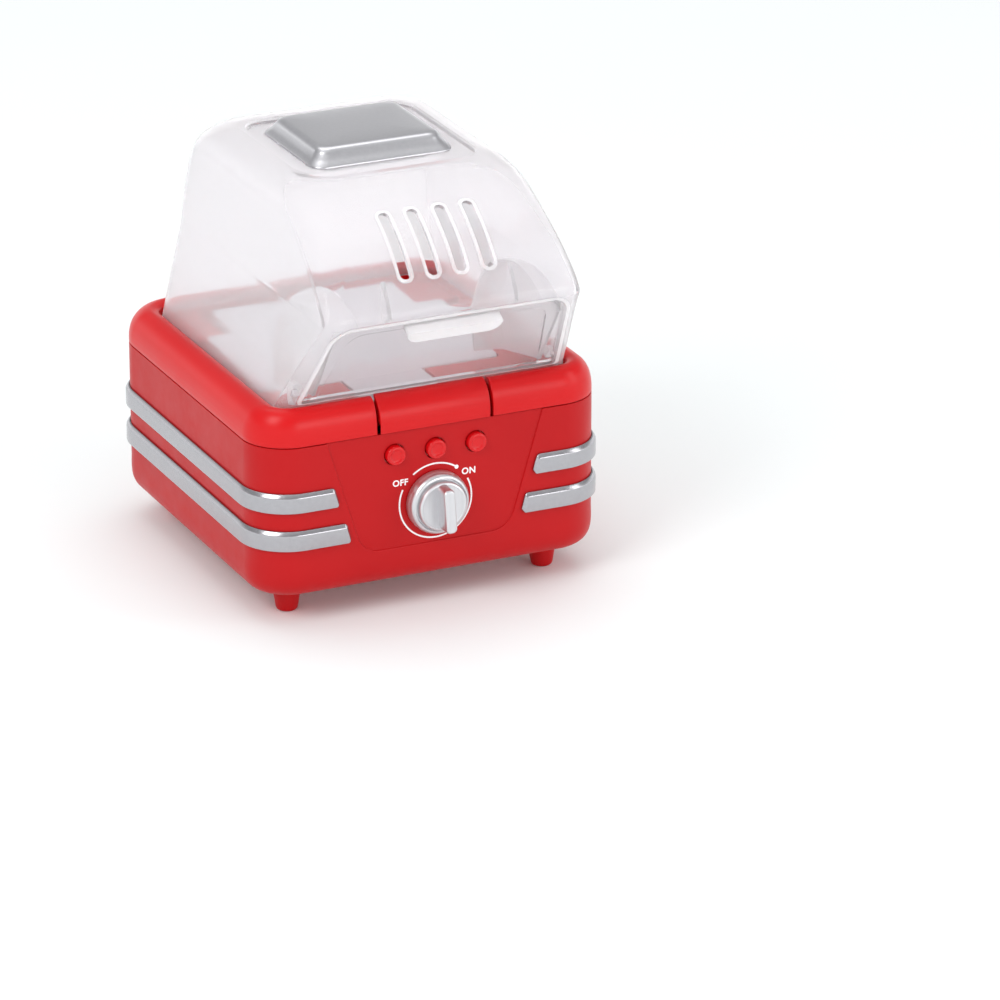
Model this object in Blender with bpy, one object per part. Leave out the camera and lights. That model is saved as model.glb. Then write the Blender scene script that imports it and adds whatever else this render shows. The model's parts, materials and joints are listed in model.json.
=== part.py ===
"""Toy popcorn maker: red base with silver bands, see-saw popping plate worked by a front tab,
frosted lift-off dome with a hinged chute door, silver cap, knob and three buttons."""

import math

import bmesh
import bpy
from mathutils import Matrix, Vector

for old in list(bpy.data.objects):
    bpy.data.objects.remove(old, do_unlink=True)

# ---------------------------------------------------------------- driving dimensions (mm)
BASE_Y = 9.67  # the base's centre, behind the middle of the whole outline
HALF_X = 82.5
HALF_Y = 84.4
PLAN_R = 20.5
WALL = 2.5
UNDER_Z = 12.8
SPLIT_Z = 83.3
GAP = 0.3
DECK_Z = 88.0
FLOOR_Z = 86.0
FRONT_NARROW = 0.76  # the ring is narrower at the front than at the sides
PANEL_Y = -83.6
INNER_Y = -(HALF_Y - WALL)
KNOB_Z = 48.7
KNOB_TILT = math.radians(3.9)
BUTTON_Z = 73.1
BUTTON_X = (-19.3, 0.0, 19.3)
SIDE_NAMES = ("left", "middle", "right")
PIVOT_Y, PIVOT_Z = -45.0, 81.0
DOOR_Y, DOOR_Z = -75.4, 106.4
FOOT_X, FOOT_Y = 61.6, 61.5
COLUMN_X, COLUMN_Y = 52.0, 40.0
CAP_Y = -2.0
CAP_HX, CAP_HY = 33.7, 30.5
ARC = 7  # steps in each rounded plan corner


# ---------------------------------------------------------------- materials
def material(name, colour, roughness, metallic=0.0, alpha=1.0):
    mat = bpy.data.materials.new(name)
    mat.use_nodes = True
    shader = mat.node_tree.nodes["Principled BSDF"]
    shader.inputs["Base Color"].default_value = (*colour, 1.0)
    shader.inputs["Roughness"].default_value = roughness
    shader.inputs["Metallic"].default_value = metallic
    shader.inputs["Alpha"].default_value = alpha
    mat.diffuse_color = (*colour, alpha)
    return mat


RED = material("red_gloss_plastic", (0.62, 0.02, 0.025), 0.32)
RED_TAB = material("red_tab_plastic", (0.66, 0.025, 0.03), 0.32)
SILVER = material("silver_paint", (0.62, 0.62, 0.64), 0.35, 0.8)
FROST = material("frosted_plastic", (0.86, 0.84, 0.88), 0.4, 0.0, 0.35)
PLATE = material("pale_grey_plastic", (0.72, 0.71, 0.73), 0.5)
STEEL = material("steel", (0.55, 0.55, 0.56), 0.3, 1.0)
DARK = material("dark_plastic", (0.05, 0.05, 0.05), 0.5)


# ---------------------------------------------------------------- shape helpers
def rounded(x0, x1, y0, y1, r_front, r_back=None, steps=ARC):
    """Points of a rounded rectangle, counter-clockwise from the front right corner."""
    r_back = r_front if r_back is None else r_back
    corners = (
        (x1 - r_front, y0 + r_front, r_front, -90),
        (x1 - r_back, y1 - r_back, r_back, 0),
        (x0 + r_back, y1 - r_back, r_back, 90),
        (x0 + r_front, y0 + r_front, r_front, 180),
    )
    points = []
    for cx, cy, r, start in corners:
        for i in range(steps + 1):
            a = math.radians(start + 90.0 * i / steps)
            points.append((cx + r * math.cos(a), cy + r * math.sin(a)))
    return points


def filleted(corners, steps=5):
    """A polygon whose corners (u, v, radius) are rounded."""
    points = []
    count = len(corners)
    for i in range(count):
        here = Vector(corners[i][:2])
        radius = corners[i][2]
        before = (Vector(corners[i - 1][:2]) - here).normalized()
        after = (Vector(corners[(i + 1) % count][:2]) - here).normalized()
        if radius <= 0:
            points.append(tuple(here))
            continue
        half = before.angle(after) / 2
        reach = radius / math.tan(half)
        middle = here + (before + after).normalized() * (radius / math.sin(half))
        a = here + before * reach - middle
        b = here + after * reach - middle
        for k in range(steps + 1):
            t = k / steps
            turn = a.angle(b)
            mixed = (a * math.sin((1 - t) * turn) + b * math.sin(t * turn)) / math.sin(turn)
            points.append(tuple(middle + mixed))
    return points


def loft(loops, cyclic=False):
    """One closed skin through loops of equal length, capped unless cyclic."""
    n = len(loops[0])
    verts = [tuple(p) for loop in loops for p in loop]
    faces = []
    rows = len(loops)
    for i in range(rows if cyclic else rows - 1):
        a = i * n
        b = (i + 1) % rows * n
        for j in range(n):
            k = (j + 1) % n
            faces.append((a + j, a + k, b + k, b + j))
    if not cyclic:
        faces.append(tuple(range(n)))
        faces.append(tuple(range((rows - 1) * n, rows * n)))
    return verts, faces


def prism(polygon, axis, low, high):
    """A polygon pushed along an axis: (x, y) along z, (x, z) along y or (y, z) along x."""
    place = {
        "z": lambda u, v, w: (u, v, w),
        "y": lambda u, v, w: (u, w, v),
        "x": lambda u, v, w: (w, u, v),
    }[axis]
    return loft([[place(u, v, w) for u, v in polygon] for w in (low, high)])


def box(x0, x1, y0, y1, z0, z1):
    return prism([(x0, y0), (x1, y0), (x1, y1), (x0, y1)], "z", z0, z1)


def turned(profile, axis, centre, count=32, cyclic=False):
    """A (radius, height) profile turned about an axis through centre (heights are absolute)."""
    loops = []
    for r, h in profile:
        loop = []
        for i in range(count):
            a = 2 * math.pi * i / count
            u = centre[0] + r * math.cos(a)
            v = centre[1] + r * math.sin(a)
            loop.append({"z": (u, v, h), "y": (u, h, v), "x": (h, u, v)}[axis])
        loops.append(loop)
    return loft(loops, cyclic)


def coil(axis, centre, radius, wire, turns, low, high, steps=8, sides=4):
    """A round-wire compression spring between two heights."""
    loops = []
    total = int(turns * steps)
    for i in range(total + 1):
        a = 2 * math.pi * i / steps
        h = low + wire + (high - low - 2 * wire) * i / total
        loop = []
        for k in range(sides):
            b = 2 * math.pi * k / sides
            r = radius + wire * math.cos(b)
            u = centre[0] + r * math.cos(a)
            v = centre[1] + r * math.sin(a)
            w = h + wire * math.sin(b)
            loop.append({"z": (u, v, w), "y": (u, w, v)}[axis])
        loops.append(loop)
    return loft(loops)


def turned_about(part, matrix, centre):
    middle = Vector(centre)
    return [tuple(matrix @ (Vector(v) - middle) + middle) for v in part[0]], part[1]


def place_object(name, part, mat, origin=(0.0, -BASE_Y, 0.0), sharp=32.0):
    """A mesh object whose own origin stands at the given point."""
    verts, faces = part
    shift = Vector(origin)
    mesh = bpy.data.meshes.new(name)
    mesh.from_pydata([tuple((Vector(v) - shift) * 0.001) for v in verts], [], faces)
    bm = bmesh.new()
    bm.from_mesh(mesh)
    bmesh.ops.recalc_face_normals(bm, faces=bm.faces)
    bm.to_mesh(mesh)
    bm.free()
    for polygon in mesh.polygons:
        polygon.use_smooth = True
    mesh.set_sharp_from_angle(angle=math.radians(sharp))
    if mat:
        mesh.materials.append(mat)
    obj = bpy.data.objects.new(name, mesh)
    obj.location = (shift + Vector((0.0, BASE_Y, 0.0))) * 0.001
    bpy.context.scene.collection.objects.link(obj)
    return obj


def boolean(obj, part, operation):
    """Joins or cuts a shape with a hidden helper object."""
    name = f"{obj.name}_{operation.lower()}_{len(obj.modifiers)}"
    helper = place_object(name, part, None)
    helper.hide_render = True
    helper.display_type = "WIRE"
    step = obj.modifiers.new(name, "BOOLEAN")
    step.operation = operation
    step.solver = "EXACT"
    step.object = helper
    return obj


def add(obj, *parts):
    for part in parts:
        boolean(obj, part, "UNION")


def cut(obj, *parts):
    for part in parts:
        boolean(obj, part, "DIFFERENCE")


# ---------------------------------------------------------------- base shell
def plan_loop(inset, z, front=None, back_ease=1.0):
    front = inset if front is None else front
    r_front = max(PLAN_R - inset, 6.5)
    r_back = max(PLAN_R - inset * back_ease, 6.5)
    outline = rounded(
        -HALF_X + inset, HALF_X - inset, -HALF_Y + front, HALF_Y - inset, r_front, r_back
    )
    return [(x, y, z) for x, y in outline]


def panel_half(z):
    """Half the control panel's width at a height."""
    return 51.0 - 0.305 * (SPLIT_Z - z)


SHELL_PROFILE = (
    (0.0, SPLIT_Z), (0.0, 52.0), (0.0, 22.3), (0.7, 18.6), (2.6, 15.5), (5.6, 13.5),
    (9.0, UNDER_Z), (10.8, UNDER_Z), (10.8, 15.1), (14.5, 15.1), (14.5, 17.2),
    (9.0, 17.4), (5.0, 19.2), (WALL, 23.2), (WALL, SPLIT_Z),
)
base_shell = place_object(
    "base_shell", loft([plan_loop(i, z) for i, z in SHELL_PROFILE], cyclic=True), RED
)
panel = filleted(
    [
        (-panel_half(30.0), 30.0, 11.0),
        (panel_half(30.0), 30.0, 11.0),
        (panel_half(90.0), 90.0, 0.0),
        (-panel_half(90.0), 90.0, 0.0),
    ],
    steps=7,
)
cut(base_shell, prism(panel, "y", -95.0, PANEL_Y))
for x in (-9.65, 9.65):
    add(base_shell, turned([(2.6, INNER_Y - 0.6), (2.6, -74.8)], "y", (x, BUTTON_Z), 16))
    cut(base_shell, turned([(0.95, -80.0), (0.95, -74.0)], "y", (x, BUTTON_Z), 12))
add(base_shell, box(-7.0, 7.0, INNER_Y - 0.6, -55.5, 64.4, 66.4))
add(base_shell, turned([(1.8, 66.0), (1.8, 70.0), (1.2, 70.7)], "z", (0.0, -61.0), 16))
for x in (-14.5, 14.5):
    add(base_shell, box(x - 1.6, x + 1.6, INNER_Y - 0.6, -75.5, 36.0, 38.3))
for x in BUTTON_X:
    cut(base_shell, turned([(5.0, -90.0), (5.0, -80.0)], "y", (x, BUTTON_Z), 32))
cut(base_shell, turned([(3.8, -90.0), (3.8, -80.0)], "y", (0.0, KNOB_Z), 32))

# ---------------------------------------------------------------- bottom cover, feet and screws
cover_plan = rounded(-71.4, 71.4, -73.3, 73.3, 9.4)
bottom_cover = place_object("bottom_cover", prism(cover_plan, "z", UNDER_Z, 14.8), RED)
add(bottom_cover, box(-40.0, 40.0, -1.0, 1.0, 14.0, 18.0))
add(bottom_cover, box(-1.0, 1.0, -60.0, 60.0, 14.0, 18.0))
cut(bottom_cover, prism(rounded(-34.0, 34.0, -24.0, 24.0, 4.0), "z", 8.0, 13.4))
CORNERS = (
    ("front_left", -1, -1),
    ("front_right", 1, -1),
    ("back_left", -1, 1),
    ("back_right", 1, 1),
)
FOOT_PROFILE = (
    (3.0, 0.0), (4.1, 0.35), (4.8, 1.3), (5.2, 3.2), (6.8, 12.5), (2.7, 12.5), (2.7, 15.8),
)


def pan_screw(name, axis, centre, head, grip, tip, head_r, shank_r):
    """A cross-recess screw: outer head face, inner head face and tip are heights on its axis."""
    way = 1.0 if grip > head else -1.0
    crown = head + 0.35 * (grip - head)
    profile = (
        (head_r * 0.72, head), (head_r, crown), (head_r, grip), (shank_r, grip),
        (shank_r, tip - way * 1.2), (shank_r * 0.3, tip),
    )
    screw = place_object(name, turned(profile, axis, centre, 12), STEEL)
    deep = head + way * abs(grip - head) * 0.6
    low, high = sorted((head - way * 1.0, deep))
    for long, short in ((head_r * 0.58, 0.35), (0.35, head_r * 0.58)):
        slot = [(-long, -short), (long, -short), (long, short), (-long, short)]
        moved = [(centre[0] + u, centre[1] + v) for u, v in slot]
        cut(screw, prism(moved, axis, low, high))
    return screw


for corner, sx, sy in CORNERS:
    at = (sx * FOOT_X, sy * FOOT_Y)
    cut(bottom_cover, turned([(3.0, 9.0), (3.0, 17.0)], "z", at, 20))
    place_object(f"foot_{corner}", turned(FOOT_PROFILE, "z", at, 18), RED)
    at = (sx * COLUMN_X, sy * COLUMN_Y)
    cut(bottom_cover, turned([(1.8, 9.0), (1.8, 17.0)], "z", at, 16))
    pan_screw(f"body_screw_{corner}", "z", at, 11.0, 12.5, 32.0, 3.1, 1.3)


# ---------------------------------------------------------------- silver bands
def band(name, z0, z1, end_low, end_high):
    """A trim strip round both front corners, the sides and the back, with slanted ends."""
    stations = []
    tx, ty = HALF_X - PLAN_R, HALF_Y - PLAN_R
    centres = ((-tx, -ty, 270.0), (-tx, ty, 180.0), (tx, ty, 90.0), (tx, -ty, 0.0))
    for cx, cy, start in centres:
        for i in range(ARC + 1):
            stations.append((cx, cy, math.radians(start - 90.0 * i / ARC)))
    section = (
        (GAP, z0), (1.6, z0), (2.0, z0 + 0.5), (2.0, z1 - 1.7), (0.8, z1), (GAP, z1),
    )

    def end_loop(side, back_off, thin):
        loop = []
        for offset, z in section:
            x = end_low + (end_high - end_low) * (z - z0) / (z1 - z0) + back_off
            loop.append((side * x, -HALF_Y - max(GAP, offset - thin), z))
        return loop

    loops = [end_loop(-1, 0.0, 0.7), end_loop(-1, 0.8, 0.0)]
    for cx, cy, a in stations:
        loops.append(
            [
                (cx + (PLAN_R + o) * math.cos(a), cy + (PLAN_R + o) * math.sin(a), z)
                for o, z in section
            ]
        )
    loops += [end_loop(1, 0.8, 0.0), end_loop(1, 0.0, 0.7)]
    return place_object(name, loft(loops), SILVER)


band("upper_band", 53.9, 62.8, 45.5, 48.3)
band("lower_band", 36.4, 45.5, 40.2, 42.7)

# ---------------------------------------------------------------- top frame: ring and deck
RING_PROFILE = (
    (15.5, DECK_Z, None), (15.5, 95.0, None), (12.9, 95.0, None), (12.9, 97.0, None),
    (12.3, 98.3, None), (10.6, 99.2, None), (8.4, 99.4, None), (5.6, 98.3, None),
    (3.0, 95.8, None), (1.1, 92.3, None), (0.2, 88.5, None), (0.0, 86.0, None),
    (0.0, SPLIT_Z + GAP, 0.0), (2.8, SPLIT_Z + GAP, 2.8), (2.8, 80.5, 2.8), (4.4, 80.5, 4.4),
    (4.4, 90.0, 4.4), (6.6, 94.2, 5.6), (9.4, 96.2, 7.2), (10.8, 96.2, 8.4),
    (11.4, 83.6, 8.8),
)
top_loops = []
for inset, z, front in RING_PROFILE:
    ring_front = inset * FRONT_NARROW if front is None else front
    top_loops.append(plan_loop(inset, z, ring_front, 0.6 if front is None else 1.0))
top_frame = place_object("top_frame", loft(top_loops), RED)
for _corner, sx, sy in CORNERS:
    at = (sx * COLUMN_X, sy * COLUMN_Y)
    add(top_frame, turned([(4.2, 15.1), (4.2, 84.5)], "z", at, 16))
    cut(top_frame, turned([(1.6, 12.0), (1.6, 36.0)], "z", at, 12))
for sx in (-1, 1):
    pad = filleted(
        [(sx * 46.0, 38.0, 3.0), (sx * 68.0, 38.0, 0.0), (sx * 68.0, 70.0, 0.0), (sx * 46.0, 70.0, 0.0)]
    )
    add(top_frame, prism(pad, "z", DECK_Z - 1.0, 91.5))
    low, high = sorted((sx * 21.2, sx * 25.2))
    add(top_frame, box(low, high, PIVOT_Y - 4.0, PIVOT_Y + 4.0, 76.8, 84.5))
plate_plan = [
    (-57.0, -26.0, 3.0), (57.0, -26.0, 3.0), (57.0, 36.0, 2.0), (44.0, 36.0, 2.0),
    (44.0, 61.0, 2.0), (-44.0, 61.0, 2.0), (-44.0, 36.0, 2.0), (-57.0, 36.0, 2.0),
]
pocket_plan = [
    (-57.5, -27.2, 3.0), (57.5, -27.2, 3.0), (57.5, 36.5, 1.5), (44.5, 36.5, 2.5),
    (44.5, 61.6, 2.0), (-44.5, 61.6, 2.0), (-44.5, 36.5, 2.5), (-57.5, 36.5, 1.5),
]
cut(top_frame, prism(filleted(pocket_plan), "z", FLOOR_Z, 90.0))
cut(top_frame, box(-20.5, 20.5, -40.0, -20.0, FLOOR_Z, 90.0))
cut(top_frame, box(-20.5, 20.5, -77.0, -38.0, 82.0, 91.5))
cut(top_frame, box(-27.6, 27.6, -95.0, -74.0, 75.0, 105.0))
cut(top_frame, turned([(1.66, -30.0), (1.66, 30.0)], "x", (PIVOT_Y, PIVOT_Z), 24))
for sx in (-1, 1):
    low, high = sorted((sx * 43.0, sx * 59.5))
    cut(top_frame, box(low, high, -77.0, -73.4, 97.4, 101.0))

# ---------------------------------------------------------------- lever: tab, plate, pin, spring
PIVOT = (0.0, PIVOT_Y, PIVOT_Z)
TAB_OUTER = (
    (-84.6, 83.7), (-84.7, 86.0), (-84.5, 89.2), (-83.8, 92.2), (-82.5, 95.0),
    (-80.5, 97.3), (-78.7, 98.8), (-77.5, 99.4), (-76.3, 99.6),
)
TAB_INNER = (
    (-76.3, 97.8), (-77.3, 97.4), (-78.9, 96.2), (-80.7, 94.0), (-81.9, 91.4),
    (-82.4, 88.8), (-82.5, 87.6), (-83.7, 87.3), (-83.7, 83.7),
)
lever_tab = place_object(
    "lever_tab", prism(TAB_OUTER + TAB_INNER, "x", -26.1, 26.1), RED_TAB, PIVOT
)
tab_side = (
    (-83.5, 88.4), (-83.3, 90.0), (-82.7, 92.0), (-81.4, 94.6), (-79.8, 96.5), (-77.9, 98.1),
    (-76.7, 98.5), (-76.7, 91.0), (-78.0, 88.4),
)
for low, high in ((-25.8, -24.3), (24.3, 25.8)):
    add(lever_tab, prism(tab_side, "x", low, high))
add(lever_tab, box(-18.0, 18.0, -83.3, -58.0, 88.25, 90.2))
for x in (-10.0, 10.0):
    add(lever_tab, prism([(-82.6, 89.8), (-76.0, 89.8), (-81.6, 93.4)], "x", x - 0.8, x + 0.8))


def slope_z(y):
    """Height of the popping plate's top."""
    return 88.0 + (y + 26.0) * 7.5 / 87.0


def wedge(plan, low, drop):
    bottom = [(x, y, low) for x, y in plan]
    top = [(x, y, slope_z(y) - drop) for x, y in plan]
    return loft([bottom, top])


inner_plan = [
    (-54.8, -23.0, 2.0), (54.8, -23.0, 2.0), (54.8, 33.8, 1.0), (41.8, 33.8, 1.0),
    (41.8, 58.8, 1.0), (-41.8, 58.8, 1.0), (-41.8, 33.8, 1.0), (-54.8, 33.8, 1.0),
]
pop_plate = place_object("pop_plate", wedge(filleted(plate_plan), 86.4, 0.0), PLATE, PIVOT)
cut(pop_plate, wedge(filleted(inner_plan), 80.0, 1.9))
add(pop_plate, box(-19.0, 19.0, -71.0, -24.4, 86.6, 87.9))
for sx in (-1, 1):
    low, high = sorted((sx * 12.0, sx * 18.2))
    add(pop_plate, box(low, high, PIVOT_Y - 3.6, PIVOT_Y + 3.6, 77.4, 87.2))
cut(pop_plate, turned([(1.66, -30.0), (1.66, 30.0)], "x", (PIVOT_Y, PIVOT_Z), 24))
for side, x in (("left", -12.0), ("right", 12.0)):
    hole = turned([(1.35, 80.0), (1.35, 95.0)], "z", (x, -63.0), 16)
    cut(pop_plate, hole)
    cut(lever_tab, hole)
    pan_screw(f"lever_screw_{side}", "z", (x, -63.0), 92.0, 90.5, 85.0, 2.5, 1.05)
place_object(
    "lever_pin",
    turned([(1.3, -25.0), (1.6, -24.6), (1.6, 24.6), (1.3, 25.0)], "x", PIVOT[1:], 24),
    STEEL,
)
place_object("lever_spring", coil("z", (0.0, -61.0), 3.0, 0.4, 8, 66.7, 86.1), STEEL)

# ---------------------------------------------------------------- knob and its detent
KNOB = (0.0, PANEL_Y, KNOB_Z)
KNOB_PROFILE = (
    (3.4, -75.0), (3.4, -83.9), (13.9, -83.9), (14.2, -84.2), (14.2, -87.2), (13.8, -88.8),
    (13.1, -89.8), (12.3, -90.2), (12.0, -89.4), (11.5, -89.4), (11.3, -90.2),
    (11.2, -91.9), (10.8, -92.6), (10.0, -92.9),
)
knob = place_object("knob", turned(KNOB_PROFILE, "y", (0.0, KNOB_Z), 32), SILVER, KNOB)
grip_foot = rounded(-2.85, 2.85, -10.5, 10.5, 1.0, steps=3)
grip_edge = rounded(-2.6, 2.6, -10.2, 10.2, 0.9, steps=3)
grip_face = rounded(-2.1, 2.1, -9.7, 9.7, 0.7, steps=3)
grip = loft(
    [[(u, -91.5, KNOB_Z + v) for u, v in grip_foot]]
    + [[(u, -99.7, KNOB_Z + v) for u, v in grip_edge]]
    + [[(u, -100.3, KNOB_Z + v) for u, v in grip_face]]
)
add(knob, turned_about(grip, Matrix.Rotation(-KNOB_TILT, 3, "Y"), KNOB))
cut(knob, turned([(1.0, -81.0), (1.0, -70.0)], "y", (0.0, KNOB_Z), 12))
wheel_profile = (
    (3.7, -81.5), (5.4, -81.5), (5.4, -79.0), (9.0, -79.0), (9.0, -75.4), (3.7, -75.4),
)
knob_wheel = place_object(
    "knob_detent_wheel",
    turned(wheel_profile, "y", (0.0, KNOB_Z), 32, cyclic=True),
    DARK,
    KNOB,
)
for i in range(8):
    a = math.radians(45.0 * i - 90.0) + KNOB_TILT
    at = (9.3 * math.cos(a), KNOB_Z + 9.3 * math.sin(a))
    cut(knob_wheel, turned([(0.9, -80.0), (0.9, -74.0)], "y", at, 8))
pan_screw("knob_screw", "y", (0.0, KNOB_Z), -73.0, -74.7, -80.0, 5.2, 0.75)
leaf = (
    (-16.0, 38.6), (16.0, 38.6), (16.0, 39.0), (1.6, 39.0), (0.5, 39.45), (-0.5, 39.45),
    (-1.6, 39.0), (-16.0, 39.0),
)
place_object("detent_leaf_spring", prism(leaf, "y", -78.4, -76.0), STEEL)

# ---------------------------------------------------------------- buttons, springs and bracket
BUTTON_PROFILE = (
    (1.7, -72.3), (1.7, -80.1), (5.8, -80.1), (5.8, -81.5), (4.5, -81.5), (4.5, -85.0),
    (4.25, -85.7), (3.7, -86.1), (3.0, -86.2),
)
button_bracket = place_object(
    "button_bracket", prism(rounded(-26.0, 26.0, 68.6, 78.4, 3.0), "y", -74.5, -72.9), DARK
)
for side, x in zip(SIDE_NAMES, BUTTON_X):
    place_object(
        f"button_{side}",
        turned(BUTTON_PROFILE, "y", (x, BUTTON_Z), 20),
        RED,
        (x, PANEL_Y, BUTTON_Z),
    )
    cut(button_bracket, turned([(2.1, -76.0), (2.1, -71.0)], "y", (x, BUTTON_Z), 16))
    place_object(
        f"button_spring_{side}",
        coil("y", (x, BUTTON_Z), 3.0, 0.35, 3.5, -79.8, -74.8),
        STEEL,
    )
for side, x in (("left", -9.65), ("right", 9.65)):
    cut(button_bracket, turned([(1.2, -76.0), (1.2, -71.0)], "y", (x, BUTTON_Z), 12))
    pan_screw(f"bracket_screw_{side}", "y", (x, BUTTON_Z), -71.2, -72.6, -79.0, 2.2, 0.75)

# ---------------------------------------------------------------- dome
LEAN = math.atan2(30.3, 44.5)  # the mouth's slope from upright
UP = Vector((-math.sin(LEAN), math.cos(LEAN)))
IN = Vector((math.cos(LEAN), math.sin(LEAN)))
MOUTH_FOOT = Vector((-75.0, 98.5))


def mouth_point(along, depth):
    """A (y, z) point at a distance up the mouth's outer plane and a depth behind it."""
    return MOUTH_FOOT + UP * along + IN * depth


# Height, half width, front, back, front corner radius, back corner radius.
DOME = (
    (95.3, 69.2, -74.2, 71.1, 9.0, 13.0),
    (98.5, 68.7, -74.5, 70.9, 8.6, 13.2),
    (108.0, 67.0, -81.4, 70.3, 8.0, 13.6),
    (118.0, 65.2, -88.2, 69.7, 7.4, 14.0),
    (128.0, 63.3, -95.0, 69.1, 6.4, 14.4),
    (138.0, 61.4, -101.9, 68.5, 5.2, 14.8),
    (142.0, 60.8, -104.7, 68.3, 4.6, 15.0),
    (143.6, 60.5, -105.2, 68.2, 4.6, 15.0),
    (146.0, 60.3, -104.6, 68.1, 5.2, 15.0),
    (150.0, 60.0, -102.7, 67.8, 7.0, 15.2),
    (155.0, 59.5, -99.6, 67.5, 9.5, 15.4),
    (160.0, 58.9, -96.1, 67.2, 12.0, 15.6),
    (165.0, 58.2, -91.8, 66.9, 14.5, 15.8),
    (170.0, 57.5, -86.4, 66.3, 17.0, 16.0),
    (175.0, 56.8, -79.8, 64.6, 18.5, 16.2),
    (179.0, 56.1, -73.5, 62.4, 19.4, 16.3),
    (182.5, 54.8, -67.4, 59.7, 19.4, 16.3),
    (185.5, 52.8, -61.3, 56.3, 19.0, 16.3),
    (187.8, 50.4, -55.8, 52.8, 18.5, 16.0),
    (189.3, 48.0, -51.0, 49.5, 17.5, 15.0),
    (190.4, 45.4, -46.8, 45.6, 16.0, 13.5),
    (191.0, 42.8, -43.2, 40.8, 14.0, 12.0),
)
DOME_TOP_SHIFT = {
    175.0: 0.3, 179.0: 0.8, 182.5: 1.5, 185.5: 2.3, 187.8: 3.0, 189.3: 3.6, 190.4: 4.0, 191.0: 4.2,
}


def dome_loop(row, inner):
    z, half, front, back, r_front, r_back = row
    if inner:
        shift = DOME_TOP_SHIFT.get(z, 0.0)
        side = 2.0 - 0.3 * shift
        half -= side
        back -= side
        front += side + 0.4 * (shift < 1.0)
        r_front = max(r_front - 2.0, 2.6)
        r_back -= 2.0
        z -= shift
    return [(x, y, z) for x, y in rounded(-half, half, front, back, r_front, r_back)]


dome = place_object(
    "dome",
    loft([dome_loop(r, True) for r in reversed(DOME)] + [dome_loop(r, False) for r in DOME]),
    FROST,
    (0.0, 0.0, 95.3),
)
MOUTH_LOW, MOUTH_HIGH = 100.3, 140.6


def mouth_half(z):
    """Half the mouth's width at a height."""
    return 60.5 - (z - MOUTH_LOW) * 6.2 / (MOUTH_HIGH - MOUTH_LOW)


mouth_low, mouth_high = mouth_half(MOUTH_LOW), mouth_half(MOUTH_HIGH)
mouth = filleted(
    [
        (-mouth_low, MOUTH_LOW, 1.5),
        (mouth_low, MOUTH_LOW, 1.5),
        (mouth_high, MOUTH_HIGH, 9.0),
        (-mouth_high, MOUTH_HIGH, 9.0),
    ]
)
cut(dome, prism(mouth, "y", -115.0, -60.0))
WALL_LEAN = math.atan2(22.7, 27.0)  # the front wall's slope where the slots are
for x in (-19.6, -6.5, 6.5, 19.6):
    slot = prism(rounded(x - 2.5, x + 2.5, -16.8, 16.8, 2.4, steps=4), "z", -8.0, 8.0)
    turned_slot = turned_about(slot, Matrix.Rotation(WALL_LEAN, 3, "X"), (0.0, 0.0, 0.0))
    moved = [(px, py - 85.9, pz + 169.8) for px, py, pz in turned_slot[0]]
    cut(dome, (moved, turned_slot[1]))
cut(dome, prism(rounded(-39.8, 39.8, -46.6, 36.6, 10.0), "z", 188.6, 195.0))
cut(dome, prism(rounded(-25.8, 25.8, CAP_Y - 22.6, CAP_Y + 22.6, 4.0), "z", 180.0, 195.0))
for sx in (-1, 1):
    # A stop rib behind the door's top edge, and an ear that carries the door's pivot.
    rib = [tuple(mouth_point(s, d)) for s, d in ((51.6, 1.0), (51.2, 3.4), (46.0, 3.4), (45.6, 6.0))]
    rib += [(-94.4, 146.0), (-95.6, 160.5), (-99.6, 152.0), (-103.2, 146.5)]
    add(dome, prism(rib, "x", sx * 29.7 - 0.9, sx * 29.7 + 0.9))
    ear = filleted(
        [(-73.9, 99.5, 0.0), (-70.6, 99.5, 2.0), (-70.6, 111.0, 3.0), (-81.4, 111.0, 0.0)]
    )
    low, high = sorted((sx * 61.2, sx * 63.6))
    add(dome, prism(ear, "x", low, high))
    low, high = sorted((sx * 60.8, sx * 64.0))
    cut(dome, turned([(1.86, low), (1.86, high)], "x", (DOOR_Y, DOOR_Z), 20))

# ---------------------------------------------------------------- chute door
HINGE = (0.0, DOOR_Y, DOOR_Z)


def leaned(polygon, near, far):
    """An (x, distance up the mouth) polygon pushed through a range of depths."""
    loops = []
    for depth in (near, far):
        loops.append([(x, *mouth_point(s, depth)) for x, s in polygon])
    return loft(loops)


FAN = [math.radians(-16.0 + 143.0 * i / 16) for i in range(17)]
PANEL_TOP = 49.4
PANEL_FOOT = 2.6
CHEEK_X = 54.5
BEND_X, BEND_R = 8.5, 10.0  # the cheek's edge turns inwards over a quarter ellipse


def share(angle, low, high):
    """How far an angle has come from one value in degrees to another, from 0 to 1."""
    return max(0.0, min(1.0, (math.degrees(angle) - low) / (high - low)))


def fan_reach(angle):
    """The cheek's radius about the pivot: it reaches far back, and clears the mouth in front."""
    return 47.5 - 5.6 * share(angle, 12, 72)


def about_pivot(radius, angle):
    return DOOR_Y + radius * math.cos(angle), DOOR_Z + radius * math.sin(angle)


def cheek_plate():
    """The flat of a cheek: from the panel round a sector centred on the pivot."""
    points = [tuple(mouth_point(4.0, 1.6)), tuple(mouth_point(3.6, 2.6))]
    points += [(DOOR_Y - 0.2, DOOR_Z - 2.9), (DOOR_Y + 3.5, DOOR_Z - 3.4)]
    points += [about_pivot(fan_reach(a) - BEND_R + 0.6, a) for a in FAN[:-1]]
    points += [tuple(mouth_point(38.0, 2.0)), tuple(mouth_point(34.0, 1.6))]
    return points


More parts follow.
